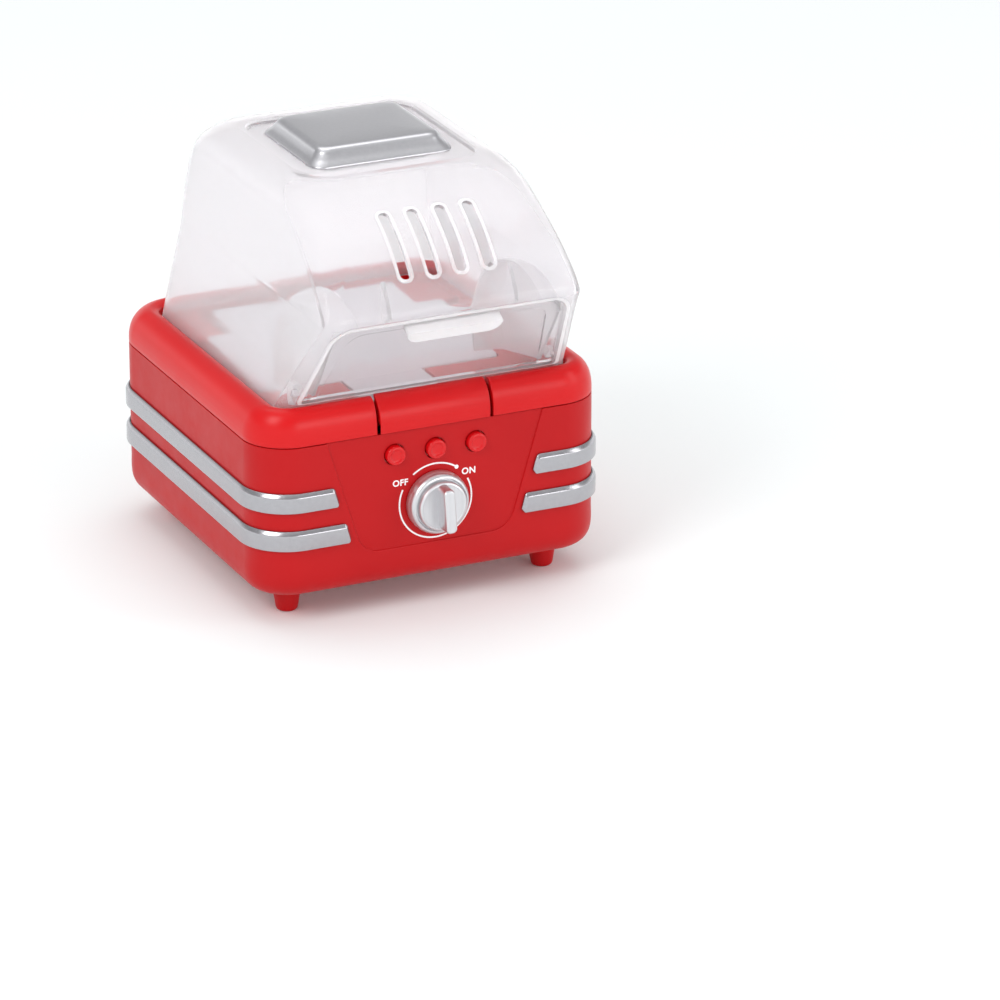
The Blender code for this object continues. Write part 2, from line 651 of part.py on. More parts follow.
def cheek_rim(sx):
    """The cheek's edge, which turns inwards and ends in a short level skirt."""
    loops = []
    for a in FAN:
        reach = fan_reach(a)
        section = [(43.0, reach)]
        for k in range(6):
            t = math.radians(90.0 - 18.0 * k)
            section.append(
                (CHEEK_X - BEND_X + BEND_X * math.cos(t), reach - BEND_R + BEND_R * math.sin(t))
            )
        for k in range(6):
            t = math.radians(18.0 * k)
            across = (BEND_X - 1.7) * math.cos(t)
            section.append(
                (CHEEK_X - BEND_X + across, reach - BEND_R + (BEND_R - 1.6) * math.sin(t))
            )
        section.append((43.0, reach - 1.6))
        loops.append([(sx * x, *about_pivot(r, a)) for x, r in section])
    return loft(loops)


def panel_half_width(along):
    return mouth_half(MOUTH_FOOT.y + UP.y * along) - 0.9


foot_half, top_half = panel_half_width(PANEL_FOOT), panel_half_width(PANEL_TOP)
door_panel = filleted(
    [
        (-foot_half, PANEL_FOOT, 1.0),
        (foot_half, PANEL_FOOT, 1.0),
        (top_half, PANEL_TOP, 8.6),
        (-top_half, PANEL_TOP, 8.6),
    ]
)
chute_door = place_object("chute_door", leaned(door_panel, 1.1, 2.9), FROST, HINGE)
lip = [(-22.8, 48.8), (-22.0, 45.4), (-18.5, 42.0), (18.5, 42.0), (22.0, 45.4), (22.8, 48.8)]
lip_outer = [(-21.6, 48.0), (-20.9, 45.8), (-17.7, 43.0), (17.7, 43.0), (20.9, 45.8), (21.6, 48.0)]
add(
    chute_door,
    loft(
        [[(x, *mouth_point(s, 1.6)) for x, s in lip]]
        + [[(x, *mouth_point(s, -3.6)) for x, s in lip]]
        + [[(x, *mouth_point(s, -4.5)) for x, s in lip_outer]]
    ),
)
for sx in (-1, 1):
    low, high = sorted((sx * (CHEEK_X - 1.55), sx * (CHEEK_X - 0.15)))
    add(chute_door, cheek_rim(sx))
    add(chute_door, prism(cheek_plate(), "x", low, high))
    low, high = sorted((sx * 56.8, sx * 59.4))
    add(chute_door, turned([(2.85, low), (2.85, high)], "x", (DOOR_Y, DOOR_Z), 20))
    low, high = sorted((sx * 58.0, sx * 63.4))
    add(chute_door, turned([(1.78, low), (1.78, high)], "x", (DOOR_Y, DOOR_Z), 20))

# ---------------------------------------------------------------- cap
CAP_PROFILE = (
    (8.4, 196.9), (6.4, 196.6), (5.0, 195.7), (4.0, 194.2), (1.2, 190.6), (0.3, 189.7),
    (0.0, 188.9), (8.3, 188.9), (8.3, 183.6), (9.8, 183.6), (9.8, 193.8),
)
cap_loops = []
for inset, z in CAP_PROFILE:
    outline = rounded(
        -CAP_HX + inset, CAP_HX - inset, CAP_Y - CAP_HY + inset, CAP_Y + CAP_HY - inset,
        max(7.0 - 0.35 * inset, 3.6),
    )
    cap_loops.append([(x, y, z) for x, y in outline])
place_object("cap", loft(cap_loops), SILVER, (0.0, CAP_Y, 188.9))
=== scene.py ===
"""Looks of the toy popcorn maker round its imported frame: glossy red shell, silver trim and a frosted dome."""

import json
import math

import bmesh
import bpy
import numpy as np
from mathutils import Matrix, Vector


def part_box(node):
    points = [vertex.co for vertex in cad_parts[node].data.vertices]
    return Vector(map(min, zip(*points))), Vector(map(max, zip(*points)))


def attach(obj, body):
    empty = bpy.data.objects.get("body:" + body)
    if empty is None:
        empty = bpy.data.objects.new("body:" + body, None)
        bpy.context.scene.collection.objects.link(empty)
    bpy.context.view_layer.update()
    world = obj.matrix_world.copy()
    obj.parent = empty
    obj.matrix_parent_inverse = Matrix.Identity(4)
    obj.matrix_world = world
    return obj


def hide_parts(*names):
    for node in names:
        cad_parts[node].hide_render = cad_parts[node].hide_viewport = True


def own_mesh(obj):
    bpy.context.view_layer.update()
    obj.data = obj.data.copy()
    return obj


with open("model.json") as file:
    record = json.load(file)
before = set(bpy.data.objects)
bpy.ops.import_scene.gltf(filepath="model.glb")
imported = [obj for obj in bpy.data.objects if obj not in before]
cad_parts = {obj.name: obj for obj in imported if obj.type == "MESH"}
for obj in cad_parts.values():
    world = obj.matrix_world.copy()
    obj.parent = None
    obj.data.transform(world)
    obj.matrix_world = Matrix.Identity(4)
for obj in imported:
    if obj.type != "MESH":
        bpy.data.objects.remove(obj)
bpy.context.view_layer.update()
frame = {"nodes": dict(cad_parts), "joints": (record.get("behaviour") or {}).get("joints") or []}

MM = 0.001


# ---------------------------------------------------------------- places, in mm from the base's centre
def joint_place(name):
    """The joint's point in mm, in the row frame."""
    return [c / MM for c in next(j for j in frame["joints"] if j["name"] == name)["pos_m"]]


def mm_box(node):
    low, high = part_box(node)
    return low / MM, high / MM


shell_low, shell_high = mm_box("base_shell")
BASE_Y = (shell_low.y + shell_high.y) / 2
HALF_X = (shell_high.x - shell_low.x) / 2
HALF_Y = (shell_high.y - shell_low.y) / 2
UNDER_Z = shell_low.z
SPLIT_Z = shell_high.z
PLAN_R = 20.5
WALL = 2.5
GAP = 0.3
DECK_Z = 88.0
FLOOR_Z = 86.0
FRONT_NARROW = 0.76
PANEL_Y = -(HALF_Y - 0.8)
INNER_Y = -(HALF_Y - WALL)
KNOB_Z = joint_place("knob_turn")[2]
KNOB_TILT = math.radians(3.9)
PIVOT_Y = joint_place("lever_press")[1] - BASE_Y
PIVOT_Z = joint_place("lever_press")[2]
DOOR_Y = joint_place("chute_door_open")[1] - BASE_Y
DOOR_Z = joint_place("chute_door_open")[2]
BUTTONS = ("button_left", "button_middle", "button_right")
BUTTON_X = {name: (mm_box(name)[0].x + mm_box(name)[1].x) / 2 for name in BUTTONS}
BUTTON_Z = (mm_box("button_middle")[0].z + mm_box("button_middle")[1].z) / 2
FEET = ("front_left", "front_right", "back_left", "back_right")
COLUMN_X, COLUMN_Y = 52.0, 40.0
NOTCH_X = 27.6
PIN_HOLE_R, PILOT_R = 1.66, 1.35
LEVER_SCREWS = ((-12.0, -63.0), (12.0, -63.0))
BRACKET_POSTS = (-9.65, 9.65)
SLOTS_X = (-19.6, -6.5, 6.5, 19.6)
CAP_Y = -2.0
CAP_HX, CAP_HY = 33.7, 30.5
WELD = 2e-6  # metres


# ---------------------------------------------------------------- node materials
def new_material(name):
    mat = bpy.data.materials.new(name)
    mat.use_nodes = True
    nodes = mat.node_tree.nodes
    return mat, mat.node_tree, nodes["Principled BSDF"]


def linked(tree, kind, wires=(), **values):
    """A node with its inputs set by name or wired from (input, socket) pairs."""
    node = tree.nodes.new(kind)
    for key, value in values.items():
        if key in node.inputs:
            node.inputs[key].default_value = value
        else:
            setattr(node, key, value)
    for key, socket in wires:
        tree.links.new(socket, node.inputs[key])
    return node


def noise(tree, scale, detail=3.0, roughness=0.55):
    place = linked(tree, "ShaderNodeTexCoord").outputs["Object"]
    node = linked(tree, "ShaderNodeTexNoise", [("Vector", place)])
    node.inputs["Scale"].default_value = scale
    node.inputs["Detail"].default_value = detail
    node.inputs["Roughness"].default_value = roughness
    return node.outputs["Fac"]


def ranged(tree, value, low, high, low_in=0.3, high_in=0.7):
    node = linked(tree, "ShaderNodeMapRange", [("Value", value)])
    node.inputs["From Min"].default_value = low_in
    node.inputs["From Max"].default_value = high_in
    node.inputs["To Min"].default_value = low
    node.inputs["To Max"].default_value = high
    return node.outputs["Result"]


def blended(tree, factor, first, second):
    node = linked(tree, "ShaderNodeMix", data_type="RGBA")
    tree.links.new(factor, node.inputs["Factor"])
    node.inputs["A"].default_value = (*first, 1.0)
    node.inputs["B"].default_value = (*second, 1.0)
    return node.outputs["Result"]


def bumped(tree, height, strength, distance):
    node = linked(tree, "ShaderNodeBump", [("Height", height)])
    node.inputs["Strength"].default_value = strength
    node.inputs["Distance"].default_value = distance
    return node.outputs["Normal"]


def plastic(name, first, second, rough_low, rough_high, ior=1.38, grain=420.0, bump=0.1):
    """Moulded plastic: slow colour drift, uneven gloss and a fine moulded skin."""
    mat, tree, shader = new_material(name)
    slow = noise(tree, 22.0, 2.0)
    tree.links.new(blended(tree, ranged(tree, slow, 0.0, 1.0), first, second), shader.inputs["Base Color"])
    smears = noise(tree, 90.0, 4.0, 0.6)
    tree.links.new(ranged(tree, smears, rough_low, rough_high), shader.inputs["Roughness"])
    tree.links.new(bumped(tree, noise(tree, grain, 2.0), bump, 0.00003), shader.inputs["Normal"])
    shader.inputs["IOR"].default_value = ior
    return mat


def metal(name, first, second, rough_low, rough_high, metallic=1.0, stretch=(1, 1, 1), bump=0.1):
    """Paint or metal with a fine brushed or flaked grain, drawn out along one axis."""
    mat, tree, shader = new_material(name)
    place = linked(tree, "ShaderNodeTexCoord").outputs["Object"]
    drawn = linked(tree, "ShaderNodeMapping", [("Vector", place)])
    drawn.inputs["Scale"].default_value = stretch
    grain = linked(tree, "ShaderNodeTexNoise", [("Vector", drawn.outputs["Vector"])])
    grain.inputs["Scale"].default_value = 600.0
    grain.inputs["Detail"].default_value = 3.0
    fine = grain.outputs["Fac"]
    tree.links.new(blended(tree, ranged(tree, fine, 0.0, 1.0), first, second), shader.inputs["Base Color"])
    tree.links.new(ranged(tree, fine, rough_low, rough_high), shader.inputs["Roughness"])
    tree.links.new(bumped(tree, fine, bump, 0.00002), shader.inputs["Normal"])
    shader.inputs["Metallic"].default_value = metallic
    return mat


def frosted(name, first, second, clear, rough_low, rough_high):
    """Milky see-through polypropylene: part of the light goes through, blurred, and part scatters."""
    mat, tree, shader = new_material(name)
    slow = noise(tree, 30.0, 2.0)
    tree.links.new(blended(tree, ranged(tree, slow, 0.0, 1.0), first, second), shader.inputs["Base Color"])
    tree.links.new(ranged(tree, noise(tree, 60.0, 3.0), rough_low, rough_high), shader.inputs["Roughness"])
    tree.links.new(bumped(tree, noise(tree, 260.0, 2.0), 0.1, 0.00003), shader.inputs["Normal"])
    shader.inputs["Transmission Weight"].default_value = clear
    shader.inputs["IOR"].default_value = 1.2
    shader.inputs["Specular IOR Level"].default_value = 0.75
    shader.inputs["Sheen Weight"].default_value = 0.45
    shader.inputs["Sheen Roughness"].default_value = 0.5
    return mat


RED_BODY = plastic("red_body_plastic", (0.455, 0.003, 0.005), (0.485, 0.004, 0.006), 0.34, 0.44, 1.3)
# Ring and tab: the body's red plastic, glossier, with its colour painted lighter than the body's as painted
# light for the light that falls on the ring's upward faces.
RED_RING_PAINTED_LIGHTER = plastic("red_ring_plastic_painted_lighter", (0.60, 0.004, 0.006), (0.63, 0.006, 0.008), 0.28, 0.34, 1.34)
RED_BUTTON = plastic("red_button_plastic", (0.60, 0.003, 0.005), (0.63, 0.004, 0.007), 0.08, 0.12, 1.42)
# The bands' silver paint is painted darker than the cap's, as painted shade for the dark surroundings their
# upright faces reflect.
SILVER_BAND_PAINTED_DARKER = metal("silver_paint", (0.42, 0.412, 0.435), (0.46, 0.452, 0.475), 0.20, 0.25, 0.97, bump=0.03)
SILVER_KNOB = metal(
    "brushed_silver_paint", (0.64, 0.64, 0.66), (0.70, 0.70, 0.72), 0.28, 0.36, 0.92, (1.0, 1.0, 0.08), 0.04
)
SILVER_CAP = metal("silver_cap_paint", (0.59, 0.59, 0.615), (0.62, 0.62, 0.645), 0.28, 0.31, 0.95, bump=0.02)
STEEL = metal("steel", (0.50, 0.50, 0.51), (0.58, 0.58, 0.59), 0.28, 0.38, 1.0, (1.0, 1.0, 0.3))
FROST = frosted("frosted_plastic", (0.985, 0.965, 0.985), (0.995, 0.975, 0.992), 0.79, 0.08, 0.11)
FROST_DOOR = frosted("frosted_door_plastic", (0.985, 0.97, 0.985), (0.995, 0.98, 0.99), 0.89, 0.05, 0.07)
FROST_THICK = frosted("frosted_thick_plastic", (0.97, 0.96, 0.975), (0.985, 0.975, 0.985), 0.5, 0.12, 0.16)
PALE = plastic("pale_grey_plastic", (0.78, 0.77, 0.80), (0.82, 0.81, 0.84), 0.42, 0.55)
DARK = plastic("dark_plastic", (0.03, 0.03, 0.032), (0.045, 0.045, 0.047), 0.4, 0.55)
INK = plastic("white_print", (0.86, 0.84, 0.85), (0.92, 0.90, 0.91), 0.4, 0.55, grain=4000.0, bump=0.2)


# ---------------------------------------------------------------- outlines and skins
def through(points, steps):
    """A smooth open curve through points of any dimension (centripetal Catmull-Rom)."""
    ends = [np.array(p, float) for p in points]
    ends = [2 * ends[0] - ends[1]] + ends + [2 * ends[-1] - ends[-2]]
    curve = []
    for p0, p1, p2, p3 in zip(ends, ends[1:], ends[2:], ends[3:]):
        t1 = np.linalg.norm(p1 - p0) ** 0.5
        t2 = t1 + np.linalg.norm(p2 - p1) ** 0.5
        t3 = t2 + np.linalg.norm(p3 - p2) ** 0.5
        for k in range(steps):
            t = t1 + (t2 - t1) * k / steps
            a1 = (t1 - t) / t1 * p0 + t / t1 * p1
            a2 = (t2 - t) / (t2 - t1) * p1 + (t - t1) / (t2 - t1) * p2
            a3 = (t3 - t) / (t3 - t2) * p2 + (t - t2) / (t3 - t2) * p3
            b1 = (t2 - t) / t2 * a1 + t / t2 * a2
            b2 = (t3 - t) / (t3 - t1) * a2 + (t - t1) / (t3 - t1) * a3
            curve.append((t2 - t) / (t2 - t1) * b1 + (t - t1) / (t2 - t1) * b2)
    curve.append(ends[-2])
    return [tuple(float(c) for c in p) for p in curve]


def rounded(x0, x1, y0, y1, r_front, r_back=None, steps=20, along=0):
    """A rounded rectangle, counter-clockwise from the front right corner, with points on its straights."""
    r_back = r_front if r_back is None else r_back
    corners = (
        (x1 - r_front, y0 + r_front, r_front, -90),
        (x1 - r_back, y1 - r_back, r_back, 0),
        (x0 + r_back, y1 - r_back, r_back, 90),
        (x0 + r_front, y0 + r_front, r_front, 180),
    )
    arcs = []
    for cx, cy, r, start in corners:
        turns = [math.radians(start + 90.0 * i / steps) for i in range(steps + 1)]
        arcs.append([(cx + r * math.cos(a), cy + r * math.sin(a)) for a in turns])
    points = []
    for arc, after in zip(arcs, arcs[1:] + arcs[:1]):
        points += arc
        (ax, ay), (bx, by) = arc[-1], after[0]
        for k in range(1, along + 1):
            t = k / (along + 1)
            points.append((ax + (bx - ax) * t, ay + (by - ay) * t))
    return points


def filleted(corners, steps=12):
    """A polygon whose corners (u, v, radius) are rounded."""
    points = []
    count = len(corners)
    for i in range(count):
        here = Vector(corners[i][:2])
        radius = corners[i][2]
        if radius <= 0:
            points.append(tuple(here))
            continue
        before = (Vector(corners[i - 1][:2]) - here).normalized()
        after = (Vector(corners[(i + 1) % count][:2]) - here).normalized()
        half = before.angle(after) / 2
        reach = radius / math.tan(half)
        middle = here + (before + after).normalized() * (radius / math.sin(half))
        a = here + before * reach - middle
        b = here + after * reach - middle
        turn = a.angle(b)
        for k in range(steps + 1):
            t = k / steps
            mixed = (a * math.sin((1 - t) * turn) + b * math.sin(t * turn)) / math.sin(turn)
            points.append(tuple(middle + mixed))
    return points


def loft(loops, cyclic=False):
    """One closed skin through loops of equal length, capped unless cyclic."""
    n = len(loops[0])
    verts = [tuple(p) for loop in loops for p in loop]
    faces = []
    rows = len(loops)
    for i in range(rows if cyclic else rows - 1):
        a = i * n
        b = (i + 1) % rows * n
        for j in range(n):
            k = (j + 1) % n
            faces.append((a + j, a + k, b + k, b + j))
    if not cyclic:
        faces.append(tuple(range(n)))
        faces.append(tuple(range((rows - 1) * n, rows * n)))
    return verts, faces


def prism(polygon, axis, low, high):
    """A polygon pushed along an axis: (x, y) along z, (x, z) along y or (y, z) along x."""
    place = {
        "z": lambda u, v, w: (u, v, w),
        "y": lambda u, v, w: (u, w, v),
        "x": lambda u, v, w: (w, u, v),
    }[axis]
    return loft([[place(u, v, w) for u, v in polygon] for w in (low, high)])


def box(x0, x1, y0, y1, z0, z1):
    return prism([(x0, y0), (x1, y0), (x1, y1), (x0, y1)], "z", z0, z1)


def turned(profile, axis, centre, count=64):
    """A (radius, height) profile turned about an axis through centre."""
    loops = []
    for r, h in profile:
        loop = []
        for i in range(count):
            a = 2 * math.pi * i / count
            u = centre[0] + r * math.cos(a)
            v = centre[1] + r * math.sin(a)
            loop.append({"z": (u, v, h), "y": (u, h, v), "x": (h, u, v)}[axis])
        loops.append(loop)
    return loft(loops)


def joined(parts):
    verts, faces = [], []
    for v, f in parts:
        start = len(verts)
        verts += v
        faces += [tuple(start + i for i in face) for face in f]
    return verts, faces


def turned_about(part, matrix, centre):
    middle = Vector(centre)
    return [tuple(matrix @ (Vector(v) - middle) + middle) for v in part[0]], part[1]


# ---------------------------------------------------------------- objects
def solid(name, part, mat):
    verts, faces = part
    mesh = bpy.data.meshes.new(name)
    mesh.from_pydata([(x * MM, (y + BASE_Y) * MM, z * MM) for x, y, z in verts], [], faces)
    bm = bmesh.new()
    bm.from_mesh(mesh)
    bmesh.ops.recalc_face_normals(bm, faces=bm.faces)
    bm.to_mesh(mesh)
    bm.free()
    if mat:
        mesh.materials.append(mat)
    obj = bpy.data.objects.new(name, mesh)
    bpy.context.scene.collection.objects.link(obj)
    return obj


def settle(obj):
    """Turns the object's modifiers into its mesh."""
    bpy.context.view_layer.update()
    graph = bpy.context.evaluated_depsgraph_get()
    made = bpy.data.meshes.new_from_object(obj.evaluated_get(graph))
    obj.modifiers.clear()
    old = obj.data
    obj.data = made
    bpy.data.meshes.remove(old)


def combine(obj, parts, operation, mat=None):
    """Joins, cuts or keeps what shapes that stay clear of each other share with the object."""
    helper = solid(obj.name + "_helper", joined(parts), mat or obj.data.materials[0])
    step = obj.modifiers.new("step", "BOOLEAN")
    step.operation = operation
    step.solver = "EXACT"
    step.material_mode = "TRANSFER"
    step.object = helper
    settle(obj)
    bpy.data.objects.remove(helper, do_unlink=True)


def add(obj, *parts, mat=None):
    combine(obj, parts, "UNION", mat)


def cut(obj, *parts):
    combine(obj, parts, "DIFFERENCE")


def shade(obj, sharp=35.0):
    for polygon in obj.data.polygons:
        polygon.use_smooth = True
    obj.data.set_sharp_from_angle(angle=math.radians(sharp))


def tidy(obj):
    """Welds what the cuts left double and drops their slivers."""
    bm = bmesh.new()
    bm.from_mesh(obj.data)
    bmesh.ops.remove_doubles(bm, verts=bm.verts, dist=WELD)
    bmesh.ops.dissolve_degenerate(bm, dist=WELD, edges=bm.edges)
    bm.to_mesh(obj.data)
    bm.free()


def eased(obj, width, segments=3, limit=38.0):
    """Rounds the edges and evens the shading, as a mould leaves them."""
    step = obj.modifiers.new("edges", "BEVEL")
    step.width = width * MM
    step.segments = segments
    step.limit_method = "ANGLE"
    step.angle_limit = math.radians(limit)
    step.use_clamp_overlap = True
    step.miter_outer = "MITER_ARC"
    settle(obj)
    shade(obj)
    even = obj.modifiers.new("even", "WEIGHTED_NORMAL")
    even.keep_sharp = True
    even.weight = 60


def eased_at(obj, width, segments, picked):
    """Rounds only the edges whose two ends pass a test on their (x, y, z) in mm."""
    weights = obj.data.attributes.new("bevel_weight_edge", "FLOAT", "EDGE").data
    chosen = [picked(v.co.x / MM, v.co.y / MM - BASE_Y, v.co.z / MM) for v in obj.data.vertices]
    for edge in obj.data.edges:
        weights[edge.index].value = float(all(chosen[i] for i in edge.vertices))
    step = obj.modifiers.new("edges", "BEVEL")
    step.width = width * MM
    step.segments = segments
    step.limit_method = "WEIGHT"
    step.use_clamp_overlap = False
    settle(obj)
    shade(obj)


def pin_bore():
    return turned([(PIN_HOLE_R, -30.0), (PIN_HOLE_R, 30.0)], "x", (PIVOT_Y, PIVOT_Z), 32)


def lever_screw_holes():
    return [turned([(PILOT_R, 80.0), (PILOT_R, 95.0)], "z", at, 24) for at in LEVER_SCREWS]


def finished(obj, body, replaces):
    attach(obj, body)
    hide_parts(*replaces)


# ---------------------------------------------------------------- base shell
PANEL_HALF, PANEL_TAPER = 51.0, 0.305


def plan_loop(inset, z, front=None, back_ease=1.0):
    """The base's outline at a height, moved in by inset, or by front at the front."""
    front = inset if front is None else front
    r_front = max(PLAN_R - inset, 6.5)
    r_back = max(PLAN_R - inset * back_ease, 6.5)
    outline = rounded(
        -HALF_X + inset, HALF_X - inset, -HALF_Y + front, HALF_Y - inset, r_front, r_back, 24, 3
    )
    return [(x, y, z) for x, y in outline]


def panel_half(z):
    """Half the control panel's width at a height."""
    return PANEL_HALF - PANEL_TAPER * (SPLIT_Z - z)


def panel_outline(out):
    """The recess's (x, z) outline, moved outwards."""
    foot, top, corner = 30.0, 90.0, 11.0 + out
    low, high = panel_half(foot) + out, panel_half(top) + out
    at_foot = [(-low, foot - out, corner), (low, foot - out, corner)]
    return filleted(at_foot + [(high, top, 0.0), (-high, top, 0.0)], 20)


def make_shell():
    foot = through([(0.0, 30.0), (0.0, 22.3), (0.7, 18.6), (2.6, 15.5), (5.6, 13.5), (9.0, UNDER_Z)], 6)
    profile = [(0.5, SPLIT_Z), (0.15, SPLIT_Z - 0.15), (0.0, SPLIT_Z - 0.5), (0.0, 66.0), (0.0, 48.0)]
    profile += foot
    profile += [
        (10.8, UNDER_Z), (10.8, 15.1), (14.5, 15.1), (14.5, 17.2),
        (9.0, 17.4), (5.0, 19.2), (WALL, 23.2), (WALL, SPLIT_Z),
    ]
    shell = solid("shell", loft([plan_loop(i, z) for i, z in profile], cyclic=True), RED_BODY)
    # The recess flares at the shell's face and closes in at the panel.
    rows = (
        (1.3, -95.0), (0.6, -HALF_Y - 0.02), (0.3, -HALF_Y + 0.14), (0.1, PANEL_Y - 0.12), (-0.12, PANEL_Y),
    )
    cut(shell, loft([[(x, y, z) for x, z in panel_outline(out)] for out, y in rows]))
    fit_panel(shell)
    tidy(shell)
    eased(shell, 0.4, 3)
    finished(shell, "base", ["base_shell"])


def fit_panel(shell):
    """The posts, shelves and holes that hold the buttons, the knob and the springs."""
    root = INNER_Y - 0.6
    add(shell, *[turned([(2.6, root), (2.6, -74.8)], "y", (x, BUTTON_Z), 24) for x in BRACKET_POSTS])
    cut(shell, *[turned([(0.95, -80.0), (0.95, -74.0)], "y", (x, BUTTON_Z), 24) for x in BRACKET_POSTS])
    shelves = [box(-7.0, 7.0, root, -55.5, 64.4, 66.4)]
    shelves += [box(x - 1.6, x + 1.6, root, -75.5, 36.0, 38.3) for x in (-14.5, 14.5)]
    add(shell, *shelves)
    add(shell, turned([(1.8, 66.0), (1.8, 70.0), (1.2, 70.7)], "z", (0.0, -61.0), 24))
    holes = [turned([(5.0, -90.0), (5.0, -80.0)], "y", (x, BUTTON_Z), 48) for x in BUTTON_X.values()]
    holes.append(turned([(3.8, -90.0), (3.8, -80.0)], "y", (0.0, KNOB_Z), 48))
    cut(shell, *holes)


# ---------------------------------------------------------------- feet and underside
def make_feet():
    """Four short tapered feet with a rounded foot edge and a flange under the cover."""
    flare = through([(3.0, 0.0), (4.1, 0.25), (4.75, 1.0), (5.1, 2.4), (5.5, 5.0), (6.8, 12.5)], 6)
    profile = [(0.8, 0.0)] + flare + [(2.7, 12.5), (2.7, 15.8)]
    for corner in FEET:
        low, high = mm_box("foot_" + corner)
        at = ((low.x + high.x) / 2, (low.y + high.y) / 2 - BASE_Y)
        foot = solid("moulded_foot_" + corner, turned(profile, "z", at, 48), RED_BODY)
        shade(foot)
        finished(foot, "base", ["foot_" + corner])


# ---------------------------------------------------------------- silver bands
def band_path(along):
    """(x, y, outward x, outward y) at a distance round the base from the middle of the front, leftwards."""
    straight_x, straight_y = HALF_X - PLAN_R, HALF_Y - PLAN_R
    quarter = math.pi * PLAN_R / 2
    runs = (
        (straight_x, (0.0, -HALF_Y), (-1.0, 0.0)),
        (quarter, (-straight_x, -straight_y), 270.0),
        (2 * straight_y, (-HALF_X, -straight_y), (0.0, 1.0)),
        (quarter, (-straight_x, straight_y), 180.0),
        (2 * straight_x, (-straight_x, HALF_Y), (1.0, 0.0)),
        (quarter, (straight_x, straight_y), 90.0),
        (2 * straight_y, (HALF_X, straight_y), (0.0, -1.0)),
        (quarter, (straight_x, -straight_y), 0.0),
        (straight_x, (straight_x, -HALF_Y), (-1.0, 0.0)),
    )
    for length, start, way in runs:
        if along <= length + 1e-9:
            if isinstance(way, tuple):
                return (start[0] + way[0] * along, start[1] + way[1] * along, way[1] * -1.0, way[0])
            a = math.radians(way - 90.0 * along / length)
            ox, oy = math.cos(a), math.sin(a)
            return (start[0] + PLAN_R * ox, start[1] + PLAN_R * oy, ox, oy)
        along -= length
    return band_path(0.0)


def band_round():
    """The whole way round the base."""
    return 4 * (HALF_X - PLAN_R) + 4 * (HALF_Y - PLAN_R) + 2 * math.pi * PLAN_R


# Distance out from the shell, and how far the top edge, foot edge and ends have come in there.
BAND_ROWS = (
    (GAP, 0.0, 0.0, 0.0), (0.65, 0.0, 0.0, 0.02), (0.85, 0.06, 0.0, 0.08), (1.0, 0.2, 0.0, 0.2),
    (1.75, 1.42, 0.06, 0.9), (1.88, 1.66, 0.16, 1.1), (1.97, 1.95, 0.34, 1.35), (2.0, 2.3, 0.6, 1.65),
)


def band_outline(z0, z1, end_low, end_high, top_in, foot_in, end_in):
    """(along, z) points of a band: foot edge, far end, top edge back and near end."""
    total = band_round()
    slant = (end_high - end_low) / (z1 - z0)
    low, high = z0 + foot_in, z1 - top_in
    near_low = end_low + slant * foot_in + end_in
    near_high = end_high - slant * top_in + end_in
    corner = max(2.0 - end_in, 0.5)
    foot_edge = [(near_low, low, corner), (total - near_low, low, corner)]
    top_edge = [(total - near_high, high, corner), (near_high, high, corner)]
    shape = filleted(foot_edge + top_edge, 8)
    arcs = [shape[9 * i : 9 * i + 9] for i in range(4)]
    steps = 200

    def run(first, last):
        return [tuple(a + (b - a) * k / steps for a, b in zip(first, last)) for k in range(1, steps)]

    near = arcs[0] + run(arcs[0][-1], arcs[1][0]) + arcs[1]
    return near + arcs[2] + run(arcs[2][-1], arcs[3][0]) + arcs[3]


def make_band(name, z0, z1, end_low, end_high, node):
    """A raised trim strip with a sloped top edge and slanted, rounded ends."""
    loops = []
    for out, top_in, foot_in, end_in in BAND_ROWS:
        loop = []
        for along, z in band_outline(z0, z1, end_low, end_high, top_in, foot_in, end_in):
            x, y, ox, oy = band_path(along)
            loop.append((x + ox * out, y + oy * out, z))
        loops.append(loop)
    verts, faces = loft(loops)
    faces = faces[:-2]
    n = len(loops[0])
    for base in (0, (len(loops) - 1) * n):
        # Quads across the strip join each point of the foot edge to its partner on the top edge.
        for i in range(n // 2 - 1):
            faces.append((base + i, base + i + 1, base + n - 2 - i, base + n - 1 - i))
    strip = solid(name, (verts, faces), SILVER_BAND_PAINTED_DARKER)
    shade(strip, 50.0)
    finished(strip, "base", [node])


